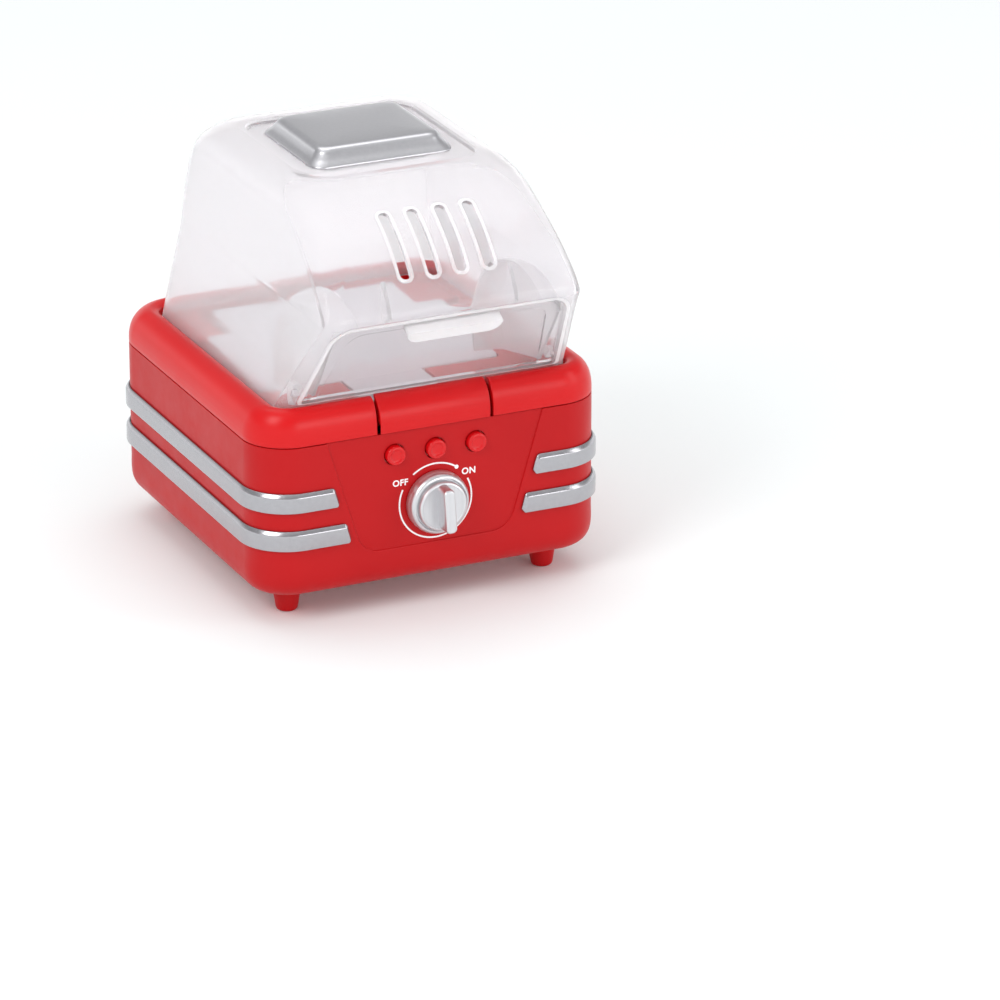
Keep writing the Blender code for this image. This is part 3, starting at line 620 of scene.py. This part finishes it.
# ---------------------------------------------------------------- ring and deck
def make_ring():
    """The half-round ring with its deck, lever well, screw columns and pivot lugs."""
    crest = [(15.5, DECK_Z), (15.5, 95.0), (12.9, 95.0)] + through(
        [
            (12.9, 96.6), (12.6, 97.9), (11.6, 98.85), (10.2, 99.3), (8.4, 99.4), (5.6, 98.3),
            (3.0, 95.8), (1.1, 92.3), (0.2, 88.5), (0.0, 86.0),
        ],
        5,
    )
    foot = SPLIT_Z + GAP
    inside = [
        (0.0, foot + 0.5, 0.0), (0.15, foot + 0.15, 0.15), (0.5, foot, 0.5), (2.8, foot, 2.8),
        (2.8, 80.5, 2.8), (4.4, 80.5, 4.4), (4.4, 90.0, 4.4), (6.6, 94.2, 5.6), (9.4, 96.2, 7.2),
        (10.8, 96.2, 8.4), (11.4, 83.6, 8.8),
    ]
    loops = [plan_loop(inset, z, inset * FRONT_NARROW, 0.6) for inset, z in crest]
    loops += [plan_loop(inset, z, front) for inset, z, front in inside]
    ring = solid("top_ring", loft(loops), RED_RING_PAINTED_LIGHTER)
    # A column for each body screw, bored from below.
    columns = [(sx * COLUMN_X, sy * COLUMN_Y) for sx in (-1, 1) for sy in (-1, 1)]
    add(ring, *[turned([(4.2, 15.1), (4.2, 84.5)], "z", at, 32) for at in columns])
    cut(ring, *[turned([(1.6, 12.0), (1.6, 36.0)], "z", at, 24) for at in columns])
    # Raised pads in the deck's back corners, and lugs that carry the lever's pin.
    pads, lugs = [], []
    for sx in (-1, 1):
        pad = [(sx * x, y, r) for x, y, r in ((46, 38, 3), (68, 38, 0), (68, 70, 0), (46, 70, 0))]
        pads.append(prism(filleted(pad), "z", DECK_Z - 1.0, 91.5))
        low, high = sorted((sx * 21.2, sx * 25.2))
        lugs.append(box(low, high, PIVOT_Y - 4.0, PIVOT_Y + 4.0, 76.8, 84.5))
    add(ring, *pads, *lugs)
    # The plate's pocket, the way for its neck, the well for its pivot and the gap for the tab.
    pocket = [
        (-57.5, -27.2, 3.0), (57.5, -27.2, 3.0), (57.5, 36.5, 1.5), (44.5, 36.5, 2.5),
        (44.5, 61.6, 2.0), (-44.5, 61.6, 2.0), (-44.5, 36.5, 2.5), (-57.5, 36.5, 1.5),
    ]
    cut(ring, prism(filleted(pocket), "z", FLOOR_Z, 90.0))
    cut(ring, box(-20.5, 20.5, -40.0, -20.0, FLOOR_Z, 90.0))
    cut(ring, box(-20.5, 20.5, -77.0, -38.0, 82.0, 91.5))
    cut(ring, box(-NOTCH_X, NOTCH_X, -95.0, -74.0, 75.0, 105.0))
    cut(ring, pin_bore())
    # Room for the feet of the chute door's cheeks.
    notches = []
    for sx in (-1, 1):
        low, high = sorted((sx * 43.0, sx * 59.5))
        notches.append(box(low, high, -77.0, -73.4, 97.4, 101.0))
    cut(ring, *notches)
    tidy(ring)
    eased_at(ring, 0.45, 4, lambda x, y, z: abs(abs(x) - NOTCH_X) < 0.01 and y < -74.5 and z > 84.0)
    finished(ring, "base", ["top_frame"])


# ---------------------------------------------------------------- lever tab and popping plate
def make_tab():
    """The front tab: a curved cover with closed ends, a flange to the plate and two gussets."""
    outer = through(
        [
            (-84.6, 83.7), (-84.7, 86.0), (-84.5, 89.2), (-83.8, 92.2), (-82.5, 95.0),
            (-80.5, 97.3), (-78.7, 98.8), (-77.5, 99.4), (-76.3, 99.6),
        ],
        4,
    )
    inner = [
        (-76.3, 97.8), (-77.3, 97.4), (-78.9, 96.2), (-80.7, 94.0), (-81.9, 91.4),
        (-82.4, 88.8), (-82.5, 87.6), (-83.7, 87.3), (-83.7, 83.7),
    ]
    half = 26.1
    tab = solid("lever_cover", prism(outer + inner, "x", -half, half), RED_RING_PAINTED_LIGHTER)
    side = [
        (-83.5, 88.4), (-83.3, 90.0), (-82.7, 92.0), (-81.4, 94.6), (-79.8, 96.5), (-77.9, 98.1),
        (-76.7, 98.5), (-76.7, 91.0), (-78.0, 88.4),
    ]
    add(tab, prism(side, "x", -25.8, -24.3), prism(side, "x", 24.3, 25.8))
    add(tab, box(-18.0, 18.0, -83.3, -58.0, 88.25, 90.2))
    gusset = [(-82.6, 89.8), (-76.0, 89.8), (-81.6, 93.4)]
    add(tab, *[prism(gusset, "x", x - 0.8, x + 0.8) for x in (-10.0, 10.0)])
    cut(tab, *lever_screw_holes())
    tidy(tab)
    eased_at(tab, 0.5, 4, lambda x, y, z: abs(abs(x) - half) < 0.01)
    finished(tab, "lever", ["lever_tab"])


PLATE_Y, PLATE_Z = -26.0, 88.0  # the top's front edge
PLATE_RISE, PLATE_RUN = 7.5, 87.0


def slope_z(y):
    """Height of the popping plate's top."""
    return PLATE_Z + (y - PLATE_Y) * PLATE_RISE / PLATE_RUN


def wedge(plan, low, drop):
    """An outline from a level floor up to the plate's slope, or to a drop below it."""
    bottom = [(x, y, low) for x, y in plan]
    top = [(x, y, slope_z(y) - drop) for x, y in plan]
    return loft([bottom, top])


def make_plate():
    """The sloping plate, hollow below, with its neck to the lever and its pivot bosses."""
    plan = [
        (-57.0, -26.0, 3.0), (57.0, -26.0, 3.0), (57.0, 36.0, 2.0), (44.0, 36.0, 2.0),
        (44.0, 61.0, 2.0), (-44.0, 61.0, 2.0), (-44.0, 36.0, 2.0), (-57.0, 36.0, 2.0),
    ]
    hollow = [
        (-54.8, -23.0, 2.0), (54.8, -23.0, 2.0), (54.8, 33.8, 1.0), (41.8, 33.8, 1.0),
        (41.8, 58.8, 1.0), (-41.8, 58.8, 1.0), (-41.8, 33.8, 1.0), (-54.8, 33.8, 1.0),
    ]
    plate = solid("popping_plate", wedge(filleted(plan), 86.4, 0.0), PALE)
    cut(plate, wedge(filleted(hollow), 80.0, 1.9))
    add(plate, box(-19.0, 19.0, -71.0, -24.4, 86.6, 87.9))
    bosses = []
    for sx in (-1, 1):
        low, high = sorted((sx * 12.0, sx * 18.2))
        bosses.append(box(low, high, PIVOT_Y - 3.6, PIVOT_Y + 3.6, 77.4, 87.2))
    add(plate, *bosses)
    cut(plate, pin_bore())
    cut(plate, *lever_screw_holes())
    tidy(plate)
    eased(plate, 0.4, 2)
    finished(plate, "lever", ["pop_plate"])


# ---------------------------------------------------------------- knob and buttons
def make_knob():
    """Skirt, groove, dished disc and a grip bar with eased edges."""
    skirt = through(
        [
            (13.9, -83.9), (14.2, -84.2), (14.25, -85.6), (14.15, -87.4), (13.75, -88.9),
            (13.0, -89.8), (12.3, -90.1),
        ],
        5,
    )
    disc = through([(11.4, -89.5), (11.3, -90.4), (11.25, -91.7), (10.95, -92.4), (10.3, -92.75)], 5)
    profile = [(3.4, -75.0), (3.4, -83.9)] + skirt + [(12.05, -89.6), (11.75, -89.25)] + disc
    profile += [(9.9, -92.72), (9.6, -92.5), (6.0, -92.4), (2.0, -92.35)]
    knob = solid("knob_body", turned(profile, "y", (0.0, KNOB_Z), 96), SILVER_KNOB)
    # Each row of the grip is a depth, half its width and height, and its corners' radius.
    rows = [(-91.0, 2.87, 10.5, 2.2), (-98.9, 2.62, 10.2, 2.0)]
    for k in range(1, 6):
        a = math.radians(18.0 * k)
        ease = 0.75 * (1 - math.cos(a))
        rows.append((-98.9 - 1.4 * math.sin(a), 2.62 - ease, 10.2 - ease * 1.3, 2.0 - ease * 0.7))
    grip_loops = []
    for depth, half_w, half_h, corner in rows:
        shape = rounded(-half_w, half_w, -half_h, half_h, corner, steps=6)
        grip_loops.append([(u, depth, KNOB_Z + v) for u, v in shape])
    grip = turned_about(loft(grip_loops), Matrix.Rotation(-KNOB_TILT, 3, "Y"), (0.0, PANEL_Y, KNOB_Z))
    add(knob, grip)
    cut(knob, turned([(1.0, -81.0), (1.0, -70.0)], "y", (0.0, KNOB_Z), 24))
    tidy(knob)
    eased(knob, 0.18, 2, 50.0)
    finished(knob, "knob", ["knob"])


def make_buttons():
    """Push buttons: a flange behind the panel and a domed cap with a rounded rim."""
    rim = through([(4.5, -84.4), (4.48, -85.1), (4.3, -85.7), (3.9, -86.05), (3.4, -86.2), (3.05, -86.13)], 5)
    profile = [(1.7, -72.3), (1.7, -80.1), (5.8, -80.1), (5.8, -81.5), (4.5, -81.5)] + rim
    profile += [(2.75, -85.92), (2.5, -85.72), (2.1, -85.62), (0.4, -85.6)]
    for name, x in BUTTON_X.items():
        obj = solid("push_" + name, turned(profile, "y", (x, BUTTON_Z), 64), RED_BUTTON)
        shade(obj)
        finished(obj, name, [name])


# ---------------------------------------------------------------- dome
LEAN = math.atan2(30.3, 44.5)  # the mouth's slope from upright
UP = Vector((-math.sin(LEAN), math.cos(LEAN)))
IN = Vector((math.cos(LEAN), math.sin(LEAN)))
MOUTH_FOOT = Vector((-75.0, 98.5))
MOUTH_LOW, MOUTH_HIGH = 100.3, 140.6
MOUTH_HALF, MOUTH_NARROWING = 60.5, 6.2
WALL_LEAN = math.atan2(22.7, 27.0)  # the front wall's slope where the slots are
SLOT_Y, SLOT_Z = -85.9, 169.8

# Height, half width, front, back, front corner radius, back corner radius.
DOME = (
    (95.3, 69.2, -74.2, 71.1, 9.0, 13.0),
    (98.5, 68.7, -74.5, 70.9, 8.6, 13.2),
    (108.0, 67.0, -81.4, 70.3, 8.0, 13.6),
    (118.0, 65.2, -88.2, 69.7, 7.4, 14.0),
    (128.0, 63.3, -95.0, 69.1, 6.4, 14.4),
    (138.0, 61.4, -101.9, 68.5, 5.2, 14.8),
    (142.0, 60.8, -104.7, 68.3, 4.6, 15.0),
    (143.6, 60.5, -105.2, 68.2, 4.6, 15.0),
    (146.0, 60.3, -104.6, 68.1, 5.2, 15.0),
    (150.0, 60.0, -102.7, 67.8, 7.0, 15.2),
    (155.0, 59.5, -99.6, 67.5, 9.5, 15.4),
    (160.0, 58.9, -96.1, 67.2, 12.0, 15.6),
    (165.0, 58.2, -91.8, 66.9, 14.5, 15.8),
    (170.0, 57.5, -86.4, 66.3, 17.0, 16.0),
    (175.0, 56.8, -79.8, 64.6, 18.5, 16.2),
    (179.0, 56.1, -73.5, 62.4, 19.4, 16.3),
    (182.5, 54.8, -67.4, 59.7, 19.4, 16.3),
    (185.5, 52.8, -61.3, 56.3, 19.0, 16.3),
    (187.8, 50.4, -55.8, 52.8, 18.5, 16.0),
    (189.3, 48.0, -51.0, 49.5, 17.5, 15.0),
    (190.4, 45.4, -46.8, 45.6, 16.0, 13.5),
    (191.0, 42.8, -43.2, 40.8, 14.0, 12.0),
)
# How far the inner skin drops at each height, to keep the wall thick under the sloping top.
TOP_SHIFT = (
    (95.0, 0.0), (171.0, 0.0), (175.0, 0.3), (179.0, 0.8), (182.5, 1.5), (185.5, 2.3), (187.8, 3.0),
    (189.3, 3.6), (190.4, 4.0), (191.0, 4.2),
)


def mouth_point(along, depth):
    """A (y, z) point at a distance up the mouth's outer plane and a depth behind it."""
    return MOUTH_FOOT + UP * along + IN * depth


def mouth_half(z):
    """Half the mouth's width at a height."""
    return MOUTH_HALF - (z - MOUTH_LOW) * MOUTH_NARROWING / (MOUTH_HIGH - MOUTH_LOW)


def dome_rows():
    """The dome's rows, closer together, with the kink over the mouth kept."""
    foot = through(DOME[:2], 1)
    front = through(DOME[1:7], 4)
    top = through(DOME[6:], 5)
    return foot[:-1] + front[:-1] + top


def dome_loop(row, wall):
    """The dome's outline at a row, moved in by a wall's thickness, or out where that is negative."""
    z, half, front, back, r_front, r_back = row
    heights, shifts = zip(*TOP_SHIFT)
    shift = float(np.interp(z, heights, shifts)) * wall / 2.0
    side = wall - 0.3 * shift
    half -= side
    back -= side
    front += side + 0.2 * wall * float(np.interp(z, (173.0, 181.0), (1.0, 0.0)))
    outline = rounded(-half, half, front, back, max(r_front - wall, 2.6), r_back - wall, 14, 15)
    return [(x, y, z - shift) for x, y in outline]


def slot_shape(x, half_w, half_l, corner, low, high):
    """A vent slot's outline pushed through the sloping front wall."""
    shape = prism(rounded(x - half_w, x + half_w, -half_l, half_l, corner, steps=8), "z", low, high)
    verts, faces = turned_about(shape, Matrix.Rotation(WALL_LEAN, 3, "X"), (0.0, 0.0, 0.0))
    return [(px, py + SLOT_Y, pz + SLOT_Z) for px, py, pz in verts], faces


def dome_skin(rows, inner, outer, cyclic=False):
    """The dome's wall between two offsets from its outline."""
    inside = [dome_loop(r, inner) for r in reversed(rows)]
    return loft(inside + [dome_loop(r, outer) for r in rows], cyclic)


def slot_lips(rows):
    """Raised lips that follow the wall: a slightly larger dome, kept only round the slots."""
    upper = [r for r in rows if 145.0 < r[0] < 188.0]
    lips = solid("lips", dome_skin(upper, 1.0, -0.55, cyclic=True), FROST)
    combine(lips, [slot_shape(x, 3.9, 18.2, 3.4, -12.0, 12.0) for x in SLOTS_X], "INTERSECT")
    points = [(v.co.x / MM, v.co.y / MM - BASE_Y, v.co.z / MM) for v in lips.data.vertices]
    faces = [tuple(p.vertices) for p in lips.data.polygons]
    bpy.data.objects.remove(lips, do_unlink=True)
    return points, faces


def cut_cap_seat(dome):
    """The flat-bottomed pocket round the cap and the filling hole in it."""
    pocket_low = rounded(-39.8, 39.8, -46.6, 36.6, 10.0, steps=10)
    pocket_high = rounded(-41.0, 41.0, -47.8, 37.8, 11.2, steps=10)
    pocket = loft(
        [[(x, y, 188.6) for x, y in pocket_low]]
        + [[(x, y, 190.2) for x, y in pocket_low]]
        + [[(x, y, 191.4) for x, y in pocket_high]]
        + [[(x, y, 195.0) for x, y in pocket_high]]
    )
    cut(dome, pocket)
    cut(dome, prism(rounded(-25.8, 25.8, CAP_Y - 22.6, CAP_Y + 22.6, 4.0, steps=8), "z", 180.0, 195.0))


def make_dome():
    """The frosted cover with its slots, mouth frame, cap seat, ribs and the door's pivot ears."""
    rows = dome_rows()
    dome = solid("dome_shell", dome_skin(rows, 2.0, 0.0), FROST)
    add(dome, slot_lips(rows), mat=FROST_THICK)
    add(dome, leaned(mouth_outline(-1.7, 1.9), -0.5, 1.2), mat=FROST_THICK)
    cut(dome, prism(mouth_polygon(), "y", -115.0, -60.0))
    cut(dome, *[slot_shape(x, 2.5, 16.8, 2.4, -8.0, 8.0) for x in SLOTS_X])
    cut_cap_seat(dome)
    ribs, ears, bores = [], [], []
    for sx in (-1, 1):
        # A stop rib behind the door's top edge, and an ear that carries the door's pivot.
        rib = [tuple(mouth_point(s, d)) for s, d in ((51.6, 1.0), (51.2, 3.4), (46.0, 3.4), (45.6, 6.0))]
        rib += [(-94.4, 146.0), (-95.6, 160.5), (-99.6, 152.0), (-103.2, 146.5)]
        ribs.append(prism(rib, "x", sx * 29.7 - 0.9, sx * 29.7 + 0.9))
        ear = filleted([(-73.9, 99.5, 0.0), (-70.6, 99.5, 2.0), (-70.6, 111.0, 3.0), (-81.4, 111.0, 0.0)], 6)
        low, high = sorted((sx * 61.2, sx * 63.6))
        ears.append(prism(ear, "x", low, high))
        low, high = sorted((sx * 60.8, sx * 64.0))
        bores.append(turned([(1.86, low), (1.86, high)], "x", (DOOR_Y, DOOR_Z), 32))
    add(dome, *ribs, *ears, mat=FROST_THICK)
    cut(dome, *bores)
    tidy(dome)
    eased(dome, 0.3, 2, 45.0)
    finished(dome, "dome", ["dome"])


# ---------------------------------------------------------------- chute door
DOOR_TOP, DOOR_FOOT = 49.4, 2.6  # distances up the mouth
CHEEK_X, SKIRT_X = 54.5, 43.0
BEND_X, BEND_R = 8.5, 10.0  # the cheek's edge turns inwards over a quarter ellipse
FAN_R, FAN_EASE = 47.5, 5.6


def trapezoid(half_low, low, half_high, high, r_low, r_high):
    """A trapezoid with rounded corners between two levels."""
    foot = [(-half_low, low, r_low), (half_low, low, r_low)]
    return filleted(foot + [(half_high, high, r_high), (-half_high, high, r_high)], 14)


def mouth_polygon():
    return trapezoid(mouth_half(MOUTH_LOW), MOUTH_LOW, mouth_half(MOUTH_HIGH), MOUTH_HIGH, 1.5, 9.0)


def mouth_outline(inset, rise):
    """(x, distance up the mouth) of a trapezoid that follows the mouth, moved in by inset."""
    foot = (MOUTH_LOW - MOUTH_FOOT.y) / UP.y + inset + rise
    top = (MOUTH_HIGH - MOUTH_FOOT.y) / UP.y - inset
    half_foot = mouth_half(MOUTH_FOOT.y + UP.y * foot) - inset
    half_top = mouth_half(MOUTH_FOOT.y + UP.y * top) - inset
    return trapezoid(half_foot, foot, half_top, top, 1.5, 10.0 - 0.8 * inset)


def leaned(polygon, near, far):
    """An (x, distance up the mouth) polygon pushed through a range of depths."""
    return loft([[(x, *mouth_point(s, depth)) for x, s in polygon] for depth in (near, far)])


def share(angle, low, high):
    """How far an angle has come from one value in degrees to another, from 0 to 1."""
    return max(0.0, min(1.0, (math.degrees(angle) - low) / (high - low)))


def fan_reach(angle):
    """The cheek's radius about the pivot: it reaches far back, and clears the mouth in front."""
    return FAN_R - FAN_EASE * share(angle, 12, 72)


def about_pivot(radius, angle):
    return DOOR_Y + radius * math.cos(angle), DOOR_Z + radius * math.sin(angle)


def fan_angles(count):
    return [math.radians(-16.0 + 143.0 * i / count) for i in range(count + 1)]


def cheek_plate():
    """The flat of a cheek: from the panel round a sector centred on the pivot."""
    points = [tuple(mouth_point(4.0, 1.6)), tuple(mouth_point(3.6, 2.6))]
    points += [(DOOR_Y - 0.2, DOOR_Z - 2.9), (DOOR_Y + 3.5, DOOR_Z - 3.4)]
    points += [about_pivot(fan_reach(a) - BEND_R + 0.6, a) for a in fan_angles(48)[:-2]]
    points += [tuple(mouth_point(38.0, 2.0)), tuple(mouth_point(34.0, 1.6))]
    return points


def cheek_rim(sx):
    """The cheek's edge, which turns inwards and ends in a short level skirt."""
    loops = []
    for a in fan_angles(48):
        reach = fan_reach(a)
        section = [(SKIRT_X, reach)]
        for k in range(11):
            t = math.radians(90.0 - 9.0 * k)
            across = BEND_X * math.cos(t)
            section.append((CHEEK_X - BEND_X + across, reach - BEND_R + BEND_R * math.sin(t)))
        for k in range(11):
            t = math.radians(9.0 * k)
            across = (BEND_X - 1.7) * math.cos(t)
            section.append((CHEEK_X - BEND_X + across, reach - BEND_R + (BEND_R - 1.6) * math.sin(t)))
        section.append((SKIRT_X, reach - 1.6))
        loops.append([(sx * x, *about_pivot(r, a)) for x, r in section])
    return loft(loops)


def make_door():
    """The chute door: a bordered panel, two cheeks with turned-in edges, a pull lip and pivot stubs."""
    foot_half = mouth_half(MOUTH_FOOT.y + UP.y * DOOR_FOOT) - 0.9
    top_half = mouth_half(MOUTH_FOOT.y + UP.y * DOOR_TOP) - 0.9
    panel = trapezoid(foot_half, DOOR_FOOT, top_half, DOOR_TOP, 1.0, 8.6)
    door = solid("door_panel", leaned(panel, 1.1, 2.9), FROST_DOOR)
    # The panel's face is a shallow tray inside a border.
    inner = trapezoid(52.4, 3.6, 45.9, 45.2, 1.0, 8.0)
    wide = trapezoid(53.0, 2.0, 46.5, 45.8, 1.0, 8.6)
    tray = [[(x, *mouth_point(s, depth)) for x, s in shape] for shape, depth in ((wide, 0.5), (inner, 1.75))]
    cut(door, loft(tray))
    lip = filleted([(-22.4, 48.6, 0.6), (-21.4, 42.2, 5.6), (21.4, 42.2, 5.6), (22.4, 48.6, 0.6)], 10)
    add(door, leaned(lip, 1.6, -4.5), mat=FROST_THICK)
    add(door, cheek_rim(-1), cheek_rim(1), mat=FROST_THICK)
    plates, hubs, stubs = [], [], []
    for sx in (-1, 1):
        low, high = sorted((sx * (CHEEK_X - 1.55), sx * (CHEEK_X - 0.15)))
        plates.append(prism(cheek_plate(), "x", low, high))
        low, high = sorted((sx * 56.8, sx * 59.4))
        hubs.append(turned([(2.85, low), (2.85, high)], "x", (DOOR_Y, DOOR_Z), 32))
        low, high = sorted((sx * 58.0, sx * 63.4))
        stubs.append(turned([(1.78, low), (1.78, high)], "x", (DOOR_Y, DOOR_Z), 32))
    add(door, *plates, mat=FROST_THICK)
    add(door, *hubs, mat=FROST_THICK)
    add(door, *stubs, mat=FROST_THICK)
    tidy(door)
    eased(door, 0.35, 3, 45.0)
    finished(door, "chute_door", ["chute_door"])


# ---------------------------------------------------------------- cap
def make_cap():
    """The silver lid of the filling hole: flared sides, a softly crowned top and a hollow plug."""
    side = through(
        [
            (0.0, 188.9), (0.15, 189.5), (0.8, 190.3), (2.4, 192.0), (3.7, 193.8), (4.5, 195.1),
            (5.4, 196.0), (6.8, 196.5), (9.5, 196.7),
        ],
        5,
    )
    crown = [(14.0, 196.8), (20.0, 196.88), (26.0, 196.9)]
    rows = [(9.8, 193.8), (9.8, 183.6), (8.3, 183.6), (8.3, 188.9)] + side + crown
    loops = []
    for inset, z in rows:
        outline = rounded(
            -CAP_HX + inset, CAP_HX - inset, CAP_Y - CAP_HY + inset, CAP_Y + CAP_HY - inset,
            max(7.0 - 0.3 * inset, 1.2), steps=12, along=3,
        )
        loops.append([(x, y, z) for x, y in outline])
    cap = solid("lid_cap", loft(loops), SILVER_CAP)
    shade(cap, 50.0)
    finished(cap, "cap", ["cap"])


# ---------------------------------------------------------------- printed marks
def make_print():
    """The dial's ring line, its dot and the OFF and ON marks, in raised white ink on the panel."""
    low, high = PANEL_Y - 0.09, PANEL_Y - 0.005
    radius, half_line = 17.2, 0.36

    def around(r, a):
        return r * math.cos(a), KNOB_Z + r * math.sin(a)

    def arc(start, end):
        turns = [math.radians(start + (end - start) * i / 60) for i in range(61)]
        outer = [around(radius + half_line, a) for a in turns]
        return prism(outer + [around(radius - half_line, a) for a in reversed(turns)], "y", low, high)

    # One stretch of the line runs over the knob to the dot, the other below it from word to word.
    dot = turned([(0.95, low), (0.95, high)], "y", around(radius, math.radians(54.0)), 24)
    marks = solid("print_dial", joined([arc(128.0, 57.3), arc(155.0, 387.0), dot]), INK)
    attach(marks, "base")
    for word, x, z, height in (("OFF", -16.7, 59.6, 2.9), ("ON", 15.9, 60.1, 3.0)):
        letters = make_word(word, x, z, height)
        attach(letters, "base")
        tidy(letters)


def make_word(word, x, z, height):
    """A generic word in raised ink, as a mesh, centred on x and z."""
    capital_share = 0.73  # a capital's height as a share of the font's size
    curve = bpy.data.curves.new("text_" + word, "FONT")
    curve.body = word
    curve.align_x = "CENTER"
    curve.size = height / capital_share * MM
    curve.offset = 0.055 * height / 3 * MM * 2
    curve.extrude = 0.04 * MM
    curve.space_character = 1.08
    text = bpy.data.objects.new("print_" + word.lower(), curve)
    bpy.context.scene.collection.objects.link(text)
    text.rotation_euler = (math.radians(90), 0.0, 0.0)
    text.location = (x * MM, (PANEL_Y - 0.045 + BASE_Y) * MM, (z - height / 2) * MM)
    curve.materials.append(INK)
    bpy.context.view_layer.update()
    graph = bpy.context.evaluated_depsgraph_get()
    mesh = bpy.data.meshes.new_from_object(text.evaluated_get(graph))
    mesh.transform(text.matrix_world)
    bpy.data.objects.remove(text, do_unlink=True)
    letters = bpy.data.objects.new("print_" + word.lower(), mesh)
    bpy.context.scene.collection.objects.link(letters)
    return letters


# ---------------------------------------------------------------- CAD nodes that stay
def paint_nodes():
    """The hidden works keep their CAD shapes and take real materials and smooth shading."""
    steel_words = ("screw", "pin", "spring")
    for name, obj in frame["nodes"].items():
        if obj.hide_render:
            continue
        if any(word in name for word in steel_words):
            mat = STEEL
        elif name in ("knob_detent_wheel", "button_bracket"):
            mat = DARK
        else:
            mat = RED_BODY
        obj.data.materials.clear()
        obj.data.materials.append(mat)
        shade(obj, 32.0)


def squash_springs():
    """Gives each button spring and the lever spring a mesh of its own."""
    for side in ("left", "middle", "right"):
        spring = frame["nodes"]["button_spring_" + side]
        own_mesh(spring)
    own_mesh(frame["nodes"]["lever_spring"])


# ---------------------------------------------------------------- floor, light and camera
def make_stage():
    reach = 12.0
    corners = [(-reach, -reach, 0), (reach, -reach, 0), (reach, reach, 0), (-reach, reach, 0)]
    mesh = bpy.data.meshes.new("floor")
    mesh.from_pydata(corners, [], [(0, 1, 2, 3)])
    floor = bpy.data.objects.new("floor", mesh)
    bpy.context.scene.collection.objects.link(floor)
    mat, tree, shader = new_material("floor_paper")
    drift = ranged(tree, noise(tree, 3.0, 2.0), 0.0, 1.0)
    paper = blended(tree, drift, (0.89, 0.925, 0.925), (0.905, 0.935, 0.935))
    tree.links.new(paper, shader.inputs["Base Color"])
    shader.inputs["Roughness"].default_value = 0.9
    shader.inputs["Emission Color"].default_value = (1.0, 1.0, 1.0, 1.0)
    shader.inputs["Emission Strength"].default_value = 0.025
    shader.inputs["Specular IOR Level"].default_value = 0.15
    mesh.materials.append(mat)


def area_light(name, place, target, size, power):
    data = bpy.data.lights.new(name, "AREA")
    data.shape = "RECTANGLE"
    data.size, data.size_y = size
    data.energy = power
    light = bpy.data.objects.new(name, data)
    light.location = place
    light.rotation_euler = (Vector(target) - Vector(place)).to_track_quat("-Z", "Y").to_euler()
    bpy.context.scene.collection.objects.link(light)


# The studio's glow from the horizon up to overhead, and its faint blue tint.
GLOW_HEIGHTS = (0.0, 0.16, 0.34, 0.62, 1.0)
GLOW_LEVELS = (1.35, 1.25, 0.42, 0.5, 1.0)
GLOW_TINTS = (1.015, 1.0, 1.015, 1.015, 1.0)


def make_light():
    world = bpy.data.worlds.new("studio")
    world.use_nodes = True
    tree = world.node_tree
    place = linked(tree, "ShaderNodeTexCoord").outputs["Generated"]
    split = linked(tree, "ShaderNodeSeparateXYZ", [("Vector", place)])
    ramp = linked(tree, "ShaderNodeValToRGB", [("Fac", split.outputs["Z"])])
    elements = ramp.color_ramp.elements
    for position in GLOW_HEIGHTS[1:-1]:
        elements.new(position)
    for element, level, tint in zip(elements, GLOW_LEVELS, GLOW_TINTS):
        element.color = (level, level, level * tint, 1.0)
    back = tree.nodes["Background"]
    tree.links.new(ramp.outputs["Color"], back.inputs["Color"])
    back.inputs["Strength"].default_value = 1.0
    bpy.context.scene.world = world
    area_light("key", (-1.65, -0.85, 1.55), (0, 0, 0.08), (1.1, 1.1), 20.0)
    area_light("fill", (1.7, -1.3, 0.9), (0, 0, 0.08), (0.7, 1.3), 7.5)
    area_light("front", (0.6, -2.2, 0.7), (0, 0, 0.12), (1.2, 0.5), 7.5)
    area_light("top", (0.1, 0.5, 2.0), (0, 0, 0.1), (1.8, 1.4), 10.0)


def make_camera():
    """A long lens from the front left, a little above, placed by its own axes."""
    data = bpy.data.cameras.new("camera")
    data.lens = 218.6
    data.sensor_width = 36.0
    camera = bpy.data.objects.new("camera", data)
    right = Vector((0.9070, -0.4212, 0.0))
    back = Vector((-0.3914, -0.8428, 0.3694))
    place = Vector((-1.0098, -2.3151, 1.0258))
    axes = [(*axis, 0.0) for axis in (right, back.cross(right), back)]
    camera.matrix_world = Matrix((*axes, (*place, 1.0))).transposed()
    data.clip_end = 100.0
    bpy.context.scene.collection.objects.link(camera)
    bpy.context.scene.camera = camera


make_camera()
make_light()
make_stage()
make_shell()
make_feet()
make_band("trim_upper", 53.9, 62.8, 45.5, 48.3, "upper_band")
make_band("trim_lower", 36.4, 45.5, 40.2, 42.7, "lower_band")
make_ring()
make_tab()
make_plate()
make_knob()
make_buttons()
make_dome()
make_door()
make_cap()
make_print()
paint_nodes()
squash_springs()

# Light crosses many frosted walls before it leaves the dome, so it needs many bounces.
bpy.context.scene.view_settings.view_transform = "Standard"
bpy.context.scene.cycles.use_denoising = True
bpy.context.scene.cycles.max_bounces = 24
bpy.context.scene.cycles.transmission_bounces = 24
